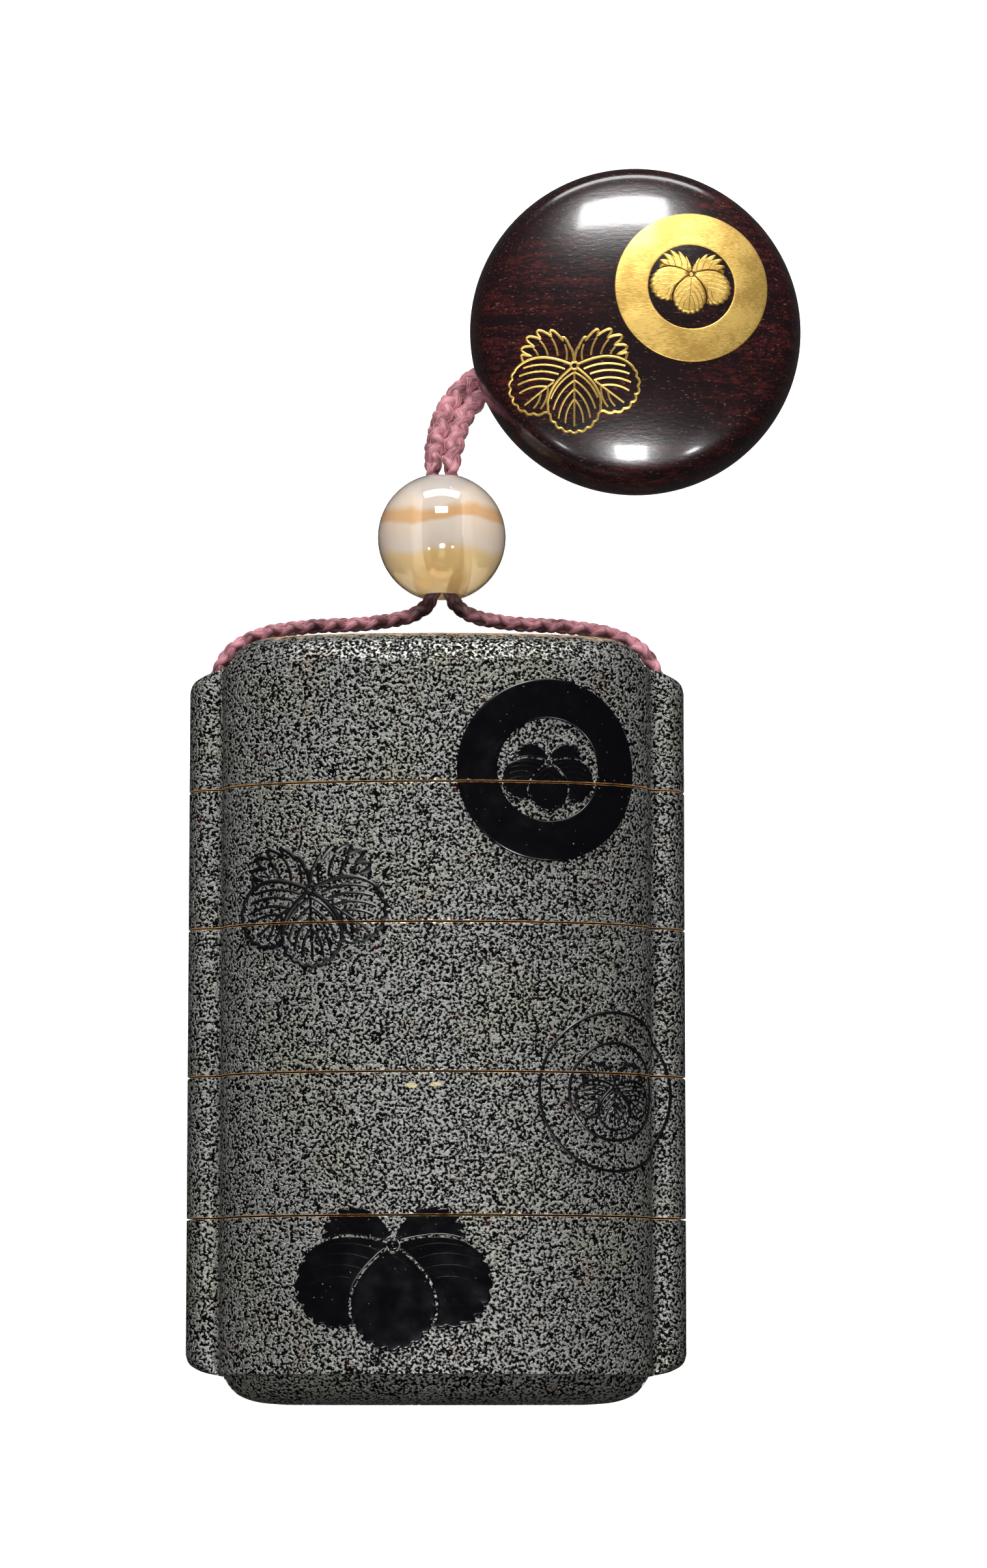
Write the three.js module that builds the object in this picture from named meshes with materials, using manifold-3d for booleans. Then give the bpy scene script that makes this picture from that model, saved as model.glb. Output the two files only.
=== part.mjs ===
// Inro: a lacquer case of five stacked pieces that hangs from a sash, with its silk cord, its bead
// and its netsuke, lying on its back as a loose one does. Millimetres. +Y runs from the foot to the
// lid, +Z is up, and the origin is in the middle of the flat strip that the back rests on.
import * as THREE from 'three';
import { mergeVertices } from 'three/addons/utils/BufferGeometryUtils.js';
import Module from 'manifold-3d';

const wasm = await Module();
wasm.setup();

// Cross-section of the case: a rounded body between two side flanges that hold the cord.
const BODY = { halfWidth: 24.8, halfDepth: 12, halfSide: 3.1, roundness: 2.1, quarterSteps: 8 };
const FLANGE = { flat: 1.8, edge: 2.2, edgeSteps: 6 };
const REST_DEPTH = 11.84;

// Levels along +Y, measured from the middle of the case.
const FOOT_SHOULDER = -41;
const SEAMS = [-23.1, -6.8, 10.3, 26.4];
const LID_SHOULDER = 40.6;
const SEAM_GAP = 0.2;

// The rounded ends: share of the end's height, and how far it is set in from the body there.
const FOOT_HEIGHT = 3.3;
const CROWN_HEIGHT = 3.95;
const END_PROFILE = [[0.03, 0.5], [0.27, 0.6], [0.59, 1.4], [0.77, 2.5], [0.92, 4.4], [1, 7.5]];

// The flange's sloping end: distance below the shoulder, and how far the flange still reaches out.
const FLANGE_END = [[2.4, 1], [1.6, 0.94], [0.6, 0.62], [0, 0.06]];

// Walls: each lower piece has a riser that fits the socket of the piece above it.
const SOCKET_INSET = 1.1;
const RISER_INSET = 1.3;
const HOLLOW_INSET = 2.4;
const RISER_HEIGHT = 4;
const SOCKET_DEPTH = 4.3;
const FLOOR = 1.5;
const CEILING = 1.85;
const OVERRUN = 1;

// Recess under the foot that the cord crosses in, and the chamfer of the hollow above it.
const RECESS = { halfLength: 16, radius: 2, depth: 3.6, endSteps: 6 };
const FOOT_FLOOR_LEVEL = -39.2;
const FOOT_CHAMFER = 2.4;

const CORD_RADIUS = 0.92;
const PASSAGE_RADIUS = 1.3;
const CORD_SIDES = 8;
const STEPS_PER_POINT = 2;

const BEAD = { radius: 7.55, boreRadius: 2.4, centre: [0.5, 57.4, 7.45], around: 28, along: 14 };

const NETSUKE = { centre: [23.4, 82.1], around: 36 };
const NETSUKE_PROFILE = [
  [0, 0], [8, 0], [12, 0.8], [15.4, 2], [17.8, 3.7], [19.2, 5.6], [19.6, 7.4],
  [19.3, 9.4], [18.7, 11], [17.9, 12.1], [15.6, 13.1], [11.5, 14.1], [6.5, 14.8], [0, 15.1],
];

// One half of the cord, from inside the netsuke through the bead, down the left runner to the foot.
const LEFT_RUN = [
  [12.9, 81, 4.8], [8.8, 79.6, 1.8], [4.3, 77.7, 1.3], [1.1, 73.9, 3], [-0.3, 68.6, 6.1],
  [-0.6, 64.6, 7.4], [-0.6, 50.4, 7.45], [-2.4, 48.3, 8.1], [-7.5, 46.9, 9.4], [-15.4, 46.2, 10.7],
  [-20.6, 45.2, 11.3], [-24.1, 43.1, 11.8], [-25.7, 40, 11.84], [-25.8, 36, 11.84],
  [-25.8, -32, 11.84], [-25.1, -36.1, 11.84], [-22.9, -39.2, 11.84], [-19.8, -41.3, 11.84],
  [-16, -42, 11.84],
];

// The other half, back up the right runner.
const RIGHT_RUN = [
  [13.6, 78.8, 4.8], [9.6, 77.5, 1.8], [5.5, 75.9, 1.3], [3.1, 72.9, 3], [1.8, 68.2, 6.1],
  [1.6, 64.6, 7.4], [1.6, 50.4, 7.45], [3.6, 48.2, 8.1], [8.2, 46.9, 9.4], [15.4, 46.2, 10.7],
  [20.8, 45.1, 11.3], [24.2, 43, 11.8], [25.7, 40, 11.84], [25.8, 36, 11.84],
  [25.8, -32, 11.84], [25.1, -36.1, 11.84], [22.9, -39.2, 11.84], [19.8, -41.3, 11.84],
  [16, -42, 11.84],
];
const FOOT_MIDDLE = [0, -42, 11.84];
const INTO_NETSUKE = [1.3, 0.4, 1.2];

const PALETTE = {
  lacquer: { color: 0x2b2d30, roughness: 0.5, metalness: 0.1 },
  agate: { color: 0x8a7a58, roughness: 0.12, metalness: 0 },
  rosewood: { color: 0x3c2420, roughness: 0.28, metalness: 0 },
  silk: { color: 0xa9767a, roughness: 0.75, metalness: 0 },
};

/** Closed geometry as an exact solid that can be joined and cut. */
function solid(geometry) {
  const bare = geometry.index ? geometry : geometry.clone();
  bare.deleteAttribute('normal');
  bare.deleteAttribute('uv');
  const merged = mergeVertices(bare, 1e-4);
  return new wasm.Manifold(new wasm.Mesh({
    numProp: 3,
    vertProperties: new Float32Array(merged.attributes.position.array),
    triVerts: new Uint32Array(merged.index.array),
  }));
}

/** Named mesh of an exact solid. */
function named(name, manifold, finish) {
  const { vertProperties, triVerts } = manifold.getMesh();
  const geometry = new THREE.BufferGeometry();
  geometry.setAttribute('position', new THREE.BufferAttribute(vertProperties, 3));
  geometry.setIndex(new THREE.BufferAttribute(triVerts, 1));
  geometry.computeVertexNormals();
  const mesh = new THREE.Mesh(geometry, new THREE.MeshStandardMaterial(PALETTE[finish]));
  mesh.name = name;
  return mesh;
}

/** Right-hand quarter of a body outline, from the middle of the front to the side. */
function bodyQuarter(inset) {
  const keep = 1 - inset / BODY.halfDepth;
  const side = BODY.halfSide * keep;
  const crown = BODY.halfDepth * keep - side;
  const power = 2 / BODY.roundness;
  return Array.from({ length: BODY.quarterSteps + 1 }, (_, step) => {
    const angle = (Math.PI / 2) * (1 - step / BODY.quarterSteps);
    const x = (BODY.halfWidth - inset) * Math.cos(angle) ** power;
    return { x, z: side + crown * Math.sin(angle) ** power };
  });
}

/** Outer edge of the right flange, from front to back, drawn in towards the body by its reach. */
function flangeEdge(inset, reach) {
  const keep = 1 - inset / BODY.halfDepth;
  return Array.from({ length: FLANGE.edgeSteps + 1 }, (_, step) => {
    const angle = Math.PI * (0.5 - step / FLANGE.edgeSteps);
    const out = FLANGE.flat + FLANGE.edge * Math.cos(angle);
    const x = BODY.halfWidth - inset + reach * out;
    return { x, z: BODY.halfSide * keep * Math.sin(angle) };
  });
}

/** Section of the case at one level: plain where the reach is 0, with flanges where it isn't. */
function ring(y, inset, reach = 0) {
  const front = bodyQuarter(inset);
  const flange = reach > 0 ? flangeEdge(inset, reach) : [];
  const back = front.map(({ x, z }) => ({ x, z: Math.max(-z, -REST_DEPTH) })).reverse();
  const right = [...front, ...flange, ...back];
  const left = right.slice(1, -1).map(({ x, z }) => ({ x: -x, z })).reverse();
  return { y, outline: [...right, ...left] };
}

/** Triangles that close one end, facing +Y. */
function endCap({ outline }) {
  return THREE.ShapeUtils.triangulateShape(outline.map(({ x, z }) => new THREE.Vector2(z, x)), []);
}

/** Closed solid through a row of sections with equal numbers of points, from low to high. */
function loft(rings) {
  const count = rings[0].outline.length;
  const top = (rings.length - 1) * count;
  const positions = rings.flatMap(({ y, outline }) => outline.flatMap(({ x, z }) => [x, y, z + REST_DEPTH]));
  const index = endCap(rings[0]).flatMap(([a, b, c]) => [a, c, b]);
  index.push(...endCap(rings.at(-1)).flatMap(([a, b, c]) => [top + a, top + b, top + c]));
  for (let start = 0; start < top; start += count) {
    for (let step = 0; step < count; step += 1) {
      const a = start + step;
      const b = start + (step + 1) % count;
      index.push(a, b, a + count, b, b + count, a + count);
    }
  }
  const geometry = new THREE.BufferGeometry();
  geometry.setAttribute('position', new THREE.Float32BufferAttribute(positions, 3));
  geometry.setIndex(index);
  return solid(geometry);
}

/** Smooth route that is divided evenly between its points, so that bends get the short steps. */
class Route extends THREE.CatmullRomCurve3 {
  constructor(points) {
    super(points.map((point) => new THREE.Vector3(...point)), false, 'centripetal');
  }

  getUtoTmapping(share) {
    return share;
  }
}

/** Round tube along a route. */
function tube(points, radius) {
  const section = new THREE.Shape(Array.from({ length: CORD_SIDES }, (_, side) => {
    const angle = (2 * Math.PI * side) / CORD_SIDES;
    return new THREE.Vector2(radius * Math.cos(angle), radius * Math.sin(angle));
  }));
  const steps = (points.length - 1) * STEPS_PER_POINT;
  return solid(new THREE.ExtrudeGeometry(section, { steps, extrudePath: new Route(points) }));
}

/** Passage for one run of the cord, a little longer than the run at the netsuke's end. */
function passage(run) {
  const beyond = run[0].map((value, axis) => value + INTO_NETSUKE[axis]);
  return tube([beyond, ...run, FOOT_MIDDLE], PASSAGE_RADIUS);
}

const passages = [passage(LEFT_RUN), passage(RIGHT_RUN)];

/** A solid with the cord's two passages cut through it. */
function threaded(body) {
  return body.subtract(passages[0]).subtract(passages[1]);
}

/** Sections of one end of the case, from the last full section out to the end face. */
function endRings(shoulder, outwards, height) {
  const slope = FLANGE_END.map(([below, reach]) => ring(shoulder - outwards * below, 0, reach));
  const round = END_PROFILE.map(([share, inset]) => ring(shoulder + outwards * share * height, inset, 0.06));
  return [...slope, ...round];
}

/** Riser round the mouth of a lower piece. */
function riser(seam) {
  return loft([ring(seam - OVERRUN, RISER_INSET), ring(seam + RISER_HEIGHT, RISER_INSET)]);
}

/** Room for the riser of the piece below. */
function socket(seam) {
  return loft([ring(seam - OVERRUN, SOCKET_INSET), ring(seam + SOCKET_DEPTH, SOCKET_INSET)]);
}

/** Straight-sided compartment from its floor out through the riser. */
function compartment(floorLevel, seam) {
  return loft([ring(floorLevel, HOLLOW_INSET), ring(seam + RISER_HEIGHT + OVERRUN, HOLLOW_INSET)]);
}

/** One of the plain cases between two seams. */
function middleCase(lowSeam, highSeam) {
  const walls = loft([ring(lowSeam + SEAM_GAP / 2, 0, 1), ring(highSeam - SEAM_GAP / 2, 0, 1)]);
  const floorLevel = lowSeam + SOCKET_DEPTH + FLOOR;
  const open = walls.add(riser(highSeam)).subtract(compartment(floorLevel, highSeam));
  return threaded(open.subtract(socket(lowSeam)));
}

/** Hollow of the lid: the socket, then the walls drawing in under a rounded ceiling. */
function lidHollow(seam) {
  const ceiling = LID_SHOULDER + CROWN_HEIGHT - CEILING;
  const room = loft([
    ring(seam + SOCKET_DEPTH - OVERRUN, HOLLOW_INSET),
    ring(LID_SHOULDER - 0.6, HOLLOW_INSET),
    ring(LID_SHOULDER + 0.8, HOLLOW_INSET + 1),
    ring(ceiling - 0.3, HOLLOW_INSET + 3.2),
    ring(ceiling, HOLLOW_INSET + 6),
  ]);
  return room.add(socket(seam));
}

/** The lid, with its rounded crown and the mouths of the cord's runners. */
function lid(seam) {
  const outer = loft([ring(seam + SEAM_GAP / 2, 0, 1), ...endRings(LID_SHOULDER, 1, CROWN_HEIGHT)]);
  return threaded(outer.subtract(lidHollow(seam)));
}

/** Slot under the foot that the cord crosses in, with round ends. */
function footRecess() {
  const { halfLength, radius, depth, endSteps } = RECESS;
  const outline = new THREE.Shape();
  outline.absarc(halfLength, 0, radius, -Math.PI / 2, Math.PI / 2, false);
  outline.absarc(-halfLength, 0, radius, Math.PI / 2, 1.5 * Math.PI, false);
  const settings = { depth: depth + OVERRUN, bevelEnabled: false, curveSegments: endSteps };
  const slot = new THREE.ExtrudeGeometry(outline, settings);
  slot.rotateX(-Math.PI / 2);
  slot.translate(0, FOOT_SHOULDER - FOOT_HEIGHT - OVERRUN, REST_DEPTH);
  return solid(slot);
}

/** The bottom case, with its rounded foot. */
function bottomCase(seam) {
  const outer = loft([...endRings(FOOT_SHOULDER, -1, FOOT_HEIGHT).reverse(), ring(seam - SEAM_GAP / 2, 0, 1)]);
  const hollow = loft([
    ring(FOOT_FLOOR_LEVEL, HOLLOW_INSET + FOOT_CHAMFER),
    ring(FOOT_FLOOR_LEVEL + FOOT_CHAMFER, HOLLOW_INSET),
    ring(seam + RISER_HEIGHT + OVERRUN, HOLLOW_INSET),
  ]);
  return threaded(outer.add(riser(seam)).subtract(hollow).subtract(footRecess()));
}

/** Round bead that slides on both runs of the cord, with a small flat spot below. */
function bead() {
  const { radius, boreRadius, centre, around, along } = BEAD;
  const start = Math.asin(boreRadius / radius);
  const profile = Array.from({ length: along + 1 }, (_, step) => {
    const angle = start + (Math.PI - 2 * start) * (step / along);
    return new THREE.Vector2(radius * Math.sin(angle), -radius * Math.cos(angle));
  });
  profile.push(profile[0].clone());
  const ball = new THREE.LatheGeometry(profile, around).translate(...centre);
  const above = new THREE.BoxGeometry(4 * radius, 4 * radius, 4 * radius);
  above.translate(centre[0], centre[1], 2 * radius);
  return solid(ball).intersect(solid(above));
}

/** Domed round toggle that lies on the flat of its back, with the two holes for the cord's ends. */
function netsuke() {
  const profile = NETSUKE_PROFILE.map(([radius, height]) => new THREE.Vector2(radius, height));
  const disc = new THREE.LatheGeometry(profile, NETSUKE.around).rotateX(Math.PI / 2);
  disc.translate(...NETSUKE.centre, 0);
  return threaded(solid(disc));
}

/** The one cord, from the netsuke down one side, under the foot and back up the other side. */
function cord() {
  return tube([...LEFT_RUN, FOOT_MIDDLE, ...RIGHT_RUN.toReversed()], CORD_RADIUS);
}

const inro = new THREE.Group();
inro.add(
  named('lid', lid(SEAMS[3]), 'lacquer'),
  named('upper_case', middleCase(SEAMS[2], SEAMS[3]), 'lacquer'),
  named('middle_case', middleCase(SEAMS[1], SEAMS[2]), 'lacquer'),
  named('lower_case', middleCase(SEAMS[0], SEAMS[1]), 'lacquer'),
  named('bottom_case', bottomCase(SEAMS[0]), 'lacquer'),
  named('cord', cord(), 'silk'),
  named('bead', bead(), 'agate'),
  named('netsuke', netsuke(), 'rosewood'),
);

export default inro;
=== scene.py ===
"""Looks of an inro: a stacked lacquer case with its silk cord, agate bead and rosewood netsuke.

The case lies on its back. +Y runs from the foot to the lid and +Z is up. Every piece is in metres, in
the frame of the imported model.
"""

import logging
import math
from bisect import bisect
from dataclasses import dataclass, field
from enum import Enum
from typing import Callable, Iterable, Iterator, Sequence

import bmesh
import bpy
import numpy as np
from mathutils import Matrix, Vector


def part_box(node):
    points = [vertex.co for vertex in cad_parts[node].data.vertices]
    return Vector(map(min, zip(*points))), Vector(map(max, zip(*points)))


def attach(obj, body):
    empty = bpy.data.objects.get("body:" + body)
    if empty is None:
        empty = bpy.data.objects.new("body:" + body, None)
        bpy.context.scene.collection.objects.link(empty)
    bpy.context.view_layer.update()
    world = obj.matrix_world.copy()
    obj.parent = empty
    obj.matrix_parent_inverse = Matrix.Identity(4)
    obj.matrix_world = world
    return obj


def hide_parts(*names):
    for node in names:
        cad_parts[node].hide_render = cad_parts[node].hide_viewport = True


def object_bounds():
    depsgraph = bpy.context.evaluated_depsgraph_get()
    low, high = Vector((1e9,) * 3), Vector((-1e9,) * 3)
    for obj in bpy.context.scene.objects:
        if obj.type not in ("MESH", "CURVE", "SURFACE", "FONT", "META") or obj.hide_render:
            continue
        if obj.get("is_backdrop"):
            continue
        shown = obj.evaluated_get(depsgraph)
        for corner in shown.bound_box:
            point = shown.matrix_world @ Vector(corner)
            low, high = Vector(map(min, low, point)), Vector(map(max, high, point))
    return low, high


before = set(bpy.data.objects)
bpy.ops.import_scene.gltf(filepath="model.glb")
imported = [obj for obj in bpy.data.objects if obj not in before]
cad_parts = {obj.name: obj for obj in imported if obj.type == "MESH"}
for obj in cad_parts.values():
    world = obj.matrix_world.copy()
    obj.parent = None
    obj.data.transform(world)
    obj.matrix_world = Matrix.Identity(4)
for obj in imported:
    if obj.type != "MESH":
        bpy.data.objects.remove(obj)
CAD_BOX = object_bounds()

MM = 0.001
# Points of one shell that lie closer together than this are merged.
WELD = 0.002 * MM
BODY = "root"
log = logging.getLogger("inro")

Outline = list[tuple[float, float]]
Placer = Callable[[float, float, float], Vector]


# ---------------------------------------------------------------------------------------------------
# Small tools shared by all pieces
# ---------------------------------------------------------------------------------------------------


def linear(colour: str) -> tuple[float, float, float, float]:
    """Turn an sRGB hex colour into linear values.

    Args:
        colour: Six hex digits, with or without a leading hash.

    Returns:
        Red, green and blue in linear light, and an alpha of 1.
    """
    digits = colour.lstrip("#")
    channels = [int(digits[start : start + 2], 16) / 255 for start in (0, 2, 4)]
    lit = [c / 12.92 if c <= 0.04045 else ((c + 0.055) / 1.055) ** 2.4 for c in channels]
    return (*lit, 1.0)


def smooth_step(low: float, high: float, value: float) -> float:
    """Ease from 0 at the low value to 1 at the high value."""
    share = min(1.0, max(0.0, (value - low) / (high - low)))
    return share * share * (3 - 2 * share)


def add_node(
    tree: bpy.types.NodeTree,
    kind: str,
    inputs: dict[str | int, object] | None = None,
    **settings: object,
) -> bpy.types.Node:
    """Add one node to a tree, with its settings and links.

    Args:
        tree: The tree that the node joins.
        kind: Blender's name for the node type.
        inputs: For each input, by its name or its number among those in use, a plain value, an output
            socket, or a node whose first output in use is linked.
        **settings: Properties of the node itself.

    Returns:
        The new node.
    """
    node = tree.nodes.new(kind)
    for name, value in settings.items():
        setattr(node, name, value)
    for key, value in (inputs or {}).items():
        in_use = [socket for socket in node.inputs if socket.enabled]
        socket = in_use[key] if isinstance(key, int) else next(s for s in in_use if s.name == key)
        if isinstance(value, bpy.types.Node):
            value = next(output for output in value.outputs if output.enabled)
        if isinstance(value, bpy.types.NodeSocket):
            tree.links.new(value, socket)
        else:
            socket.default_value = value
    return node


def new_material(name: str) -> tuple[bpy.types.Material, bpy.types.NodeTree, bpy.types.NodeSocket]:
    """Make an empty node material.

    Args:
        name: The material's name.

    Returns:
        The material, its node tree, and the piece's own coordinates in metres.
    """
    material = bpy.data.materials.new(name)
    material.use_nodes = True
    tree = material.node_tree
    tree.nodes.clear()
    return material, tree, add_node(tree, "ShaderNodeTexCoord").outputs["Object"]


def close_material(tree: bpy.types.NodeTree, inputs: dict[str | int, object]) -> None:
    """End a material's tree in one principled shader with these inputs."""
    shader = add_node(tree, "ShaderNodeBsdfPrincipled", inputs)
    add_node(tree, "ShaderNodeOutputMaterial", {"Surface": shader})


def lay_tone(
    tree: bpy.types.NodeTree,
    colour: object,
    tone: str,
    amount: bpy.types.Node,
    span: tuple[float, float],
    **settings: object,
) -> bpy.types.Node:
    """Lay a tone over a colour wherever an amount is high.

    Args:
        tree: The tree that the nodes join.
        colour: What lies under the tone.
        tone: The tone, as a hex colour.
        amount: What decides where the tone lies.
        span: The amounts at which the tone starts, and at which it covers all.
        **settings: Properties of the node that turns the amount into a share.

    Returns:
        The node whose output is the mixed colour.
    """
    limits = {"Value": amount, "From Min": span[0], "From Max": span[1]}
    share = add_node(tree, "ShaderNodeMapRange", limits, **settings)
    both = {"Factor": share, "A": colour, "B": linear(tone)}
    return add_node(tree, "ShaderNodeMix", both, data_type="RGBA")


class Ends(Enum):
    """What becomes of the two ends of a row of rings."""

    OPEN = "open"
    CAPPED = "capped"
    JOINED = "joined"


def ring_faces(rings: int, count: int, ends: Ends = Ends.CAPPED) -> list[tuple[int, ...]]:
    """List the faces that skin a row of rings, whose points are stored ring by ring.

    Args:
        rings: Number of rings.
        count: Points in each ring.
        ends: Whether the ends stay open, get a cap each, or are joined to each other.

    Returns:
        Faces as point numbers.
    """
    faces: list[tuple[int, ...]] = []
    for ring in range(rings if ends is Ends.JOINED else rings - 1):
        here = ring * count
        there = (ring + 1) % rings * count
        for step in range(count):
            onward = (step + 1) % count
            faces.append((here + step, here + onward, there + onward, there + step))
    if ends is Ends.CAPPED:
        faces.append(tuple(range(count)))
        faces.append(tuple(reversed(range((rings - 1) * count, rings * count))))
    return faces


def placed(name: str, data: bpy.types.ID) -> bpy.types.Object:
    """Make an object of a mesh, light or camera, and put it into the scene."""
    thing = bpy.data.objects.new(name, data)
    bpy.context.scene.collection.objects.link(thing)
    return thing


def new_object(name: str, mesh: bpy.types.Mesh, material: bpy.types.Material) -> bpy.types.Object:
    """Put a mesh into the scene with one material.

    Args:
        name: Name of the object and its mesh.
        mesh: The finished mesh.
        material: The finish of all its faces.

    Returns:
        The new object.
    """
    mesh.name = name
    mesh.materials.clear()
    mesh.materials.append(material)
    return placed(name, mesh)


def finish_shading(mesh: bpy.types.Mesh, sharp_degrees: float) -> None:
    """Shade a mesh smoothly, except over edges sharper than the angle."""
    mesh.shade_smooth()
    mesh.set_sharp_from_angle(angle=math.radians(sharp_degrees))


def mesh_from(
    points: Iterable[Sequence[float]],
    faces: Iterable[Sequence[int]],
    marks: dict[str, list[float]] | None = None,
    weld: bool = True,
) -> bpy.types.Mesh:
    """Make a mesh from points and faces, with its faces turned outwards.

    Args:
        points: Places in metres.
        faces: Point numbers of each face.
        marks: Values to keep at each point, by the name of the attribute.
        weld: Whether points that lie on each other are merged.

    Returns:
        The mesh.
    """
    mesh = bpy.data.meshes.new("piece")
    mesh.from_pydata([tuple(point) for point in points], [], [tuple(face) for face in faces])
    for name, values in (marks or {}).items():
        mesh.attributes.new(name, "FLOAT", "POINT").data.foreach_set("value", values)
    shell = bmesh.new()
    shell.from_mesh(mesh)
    if weld:
        bmesh.ops.remove_doubles(shell, verts=shell.verts, dist=WELD)
        bmesh.ops.dissolve_degenerate(shell, edges=shell.edges, dist=WELD)
    bmesh.ops.recalc_face_normals(shell, faces=shell.faces)
    shell.to_mesh(mesh)
    shell.free()
    return mesh


def gathered(meshes: Iterable[bpy.types.Mesh]) -> bmesh.types.BMesh:
    """Join meshes into one that can be worked on, and delete them."""
    whole = bmesh.new()
    for mesh in meshes:
        whole.from_mesh(mesh)
        bpy.data.meshes.remove(mesh)
    return whole


def evaluated_mesh(piece: bpy.types.Object) -> bpy.types.Mesh:
    """Return a plain mesh of a piece with its modifiers applied, and take the modifiers off."""
    depsgraph = bpy.context.evaluated_depsgraph_get()
    mesh = bpy.data.meshes.new_from_object(piece.evaluated_get(depsgraph))
    piece.modifiers.clear()
    return mesh


def cut_away(piece: bpy.types.Object, cutters: Sequence[bpy.types.Object]) -> None:
    """Cut closed shapes out of a piece.

    Args:
        piece: The piece that is cut.
        cutters: Closed objects, deleted afterwards.
    """
    for cutter in cutters:
        tool = piece.modifiers.new("cut", "BOOLEAN")
        tool.operation = "DIFFERENCE"
        tool.solver = "EXACT"
        tool.object = cutter
    old = piece.data
    piece.data = evaluated_mesh(piece)
    piece.data.name = old.name
    bpy.data.meshes.remove(old)
    for cutter in cutters:
        bpy.data.meshes.remove(cutter.data)


def dress(piece: bpy.types.Object, slot: str, *nodes: str) -> None:
    """Hand a finished piece to the frame.

    Args:
        piece: The piece.
        slot: The record's material slot that it belongs to; not used.
        *nodes: The solids that it stands for.
    """
    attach(piece, BODY)
    if nodes:
        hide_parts(*nodes)
    log.info("%s: %d faces", piece.name, len(piece.data.polygons))


# ---------------------------------------------------------------------------------------------------
# Finishes
# ---------------------------------------------------------------------------------------------------


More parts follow.
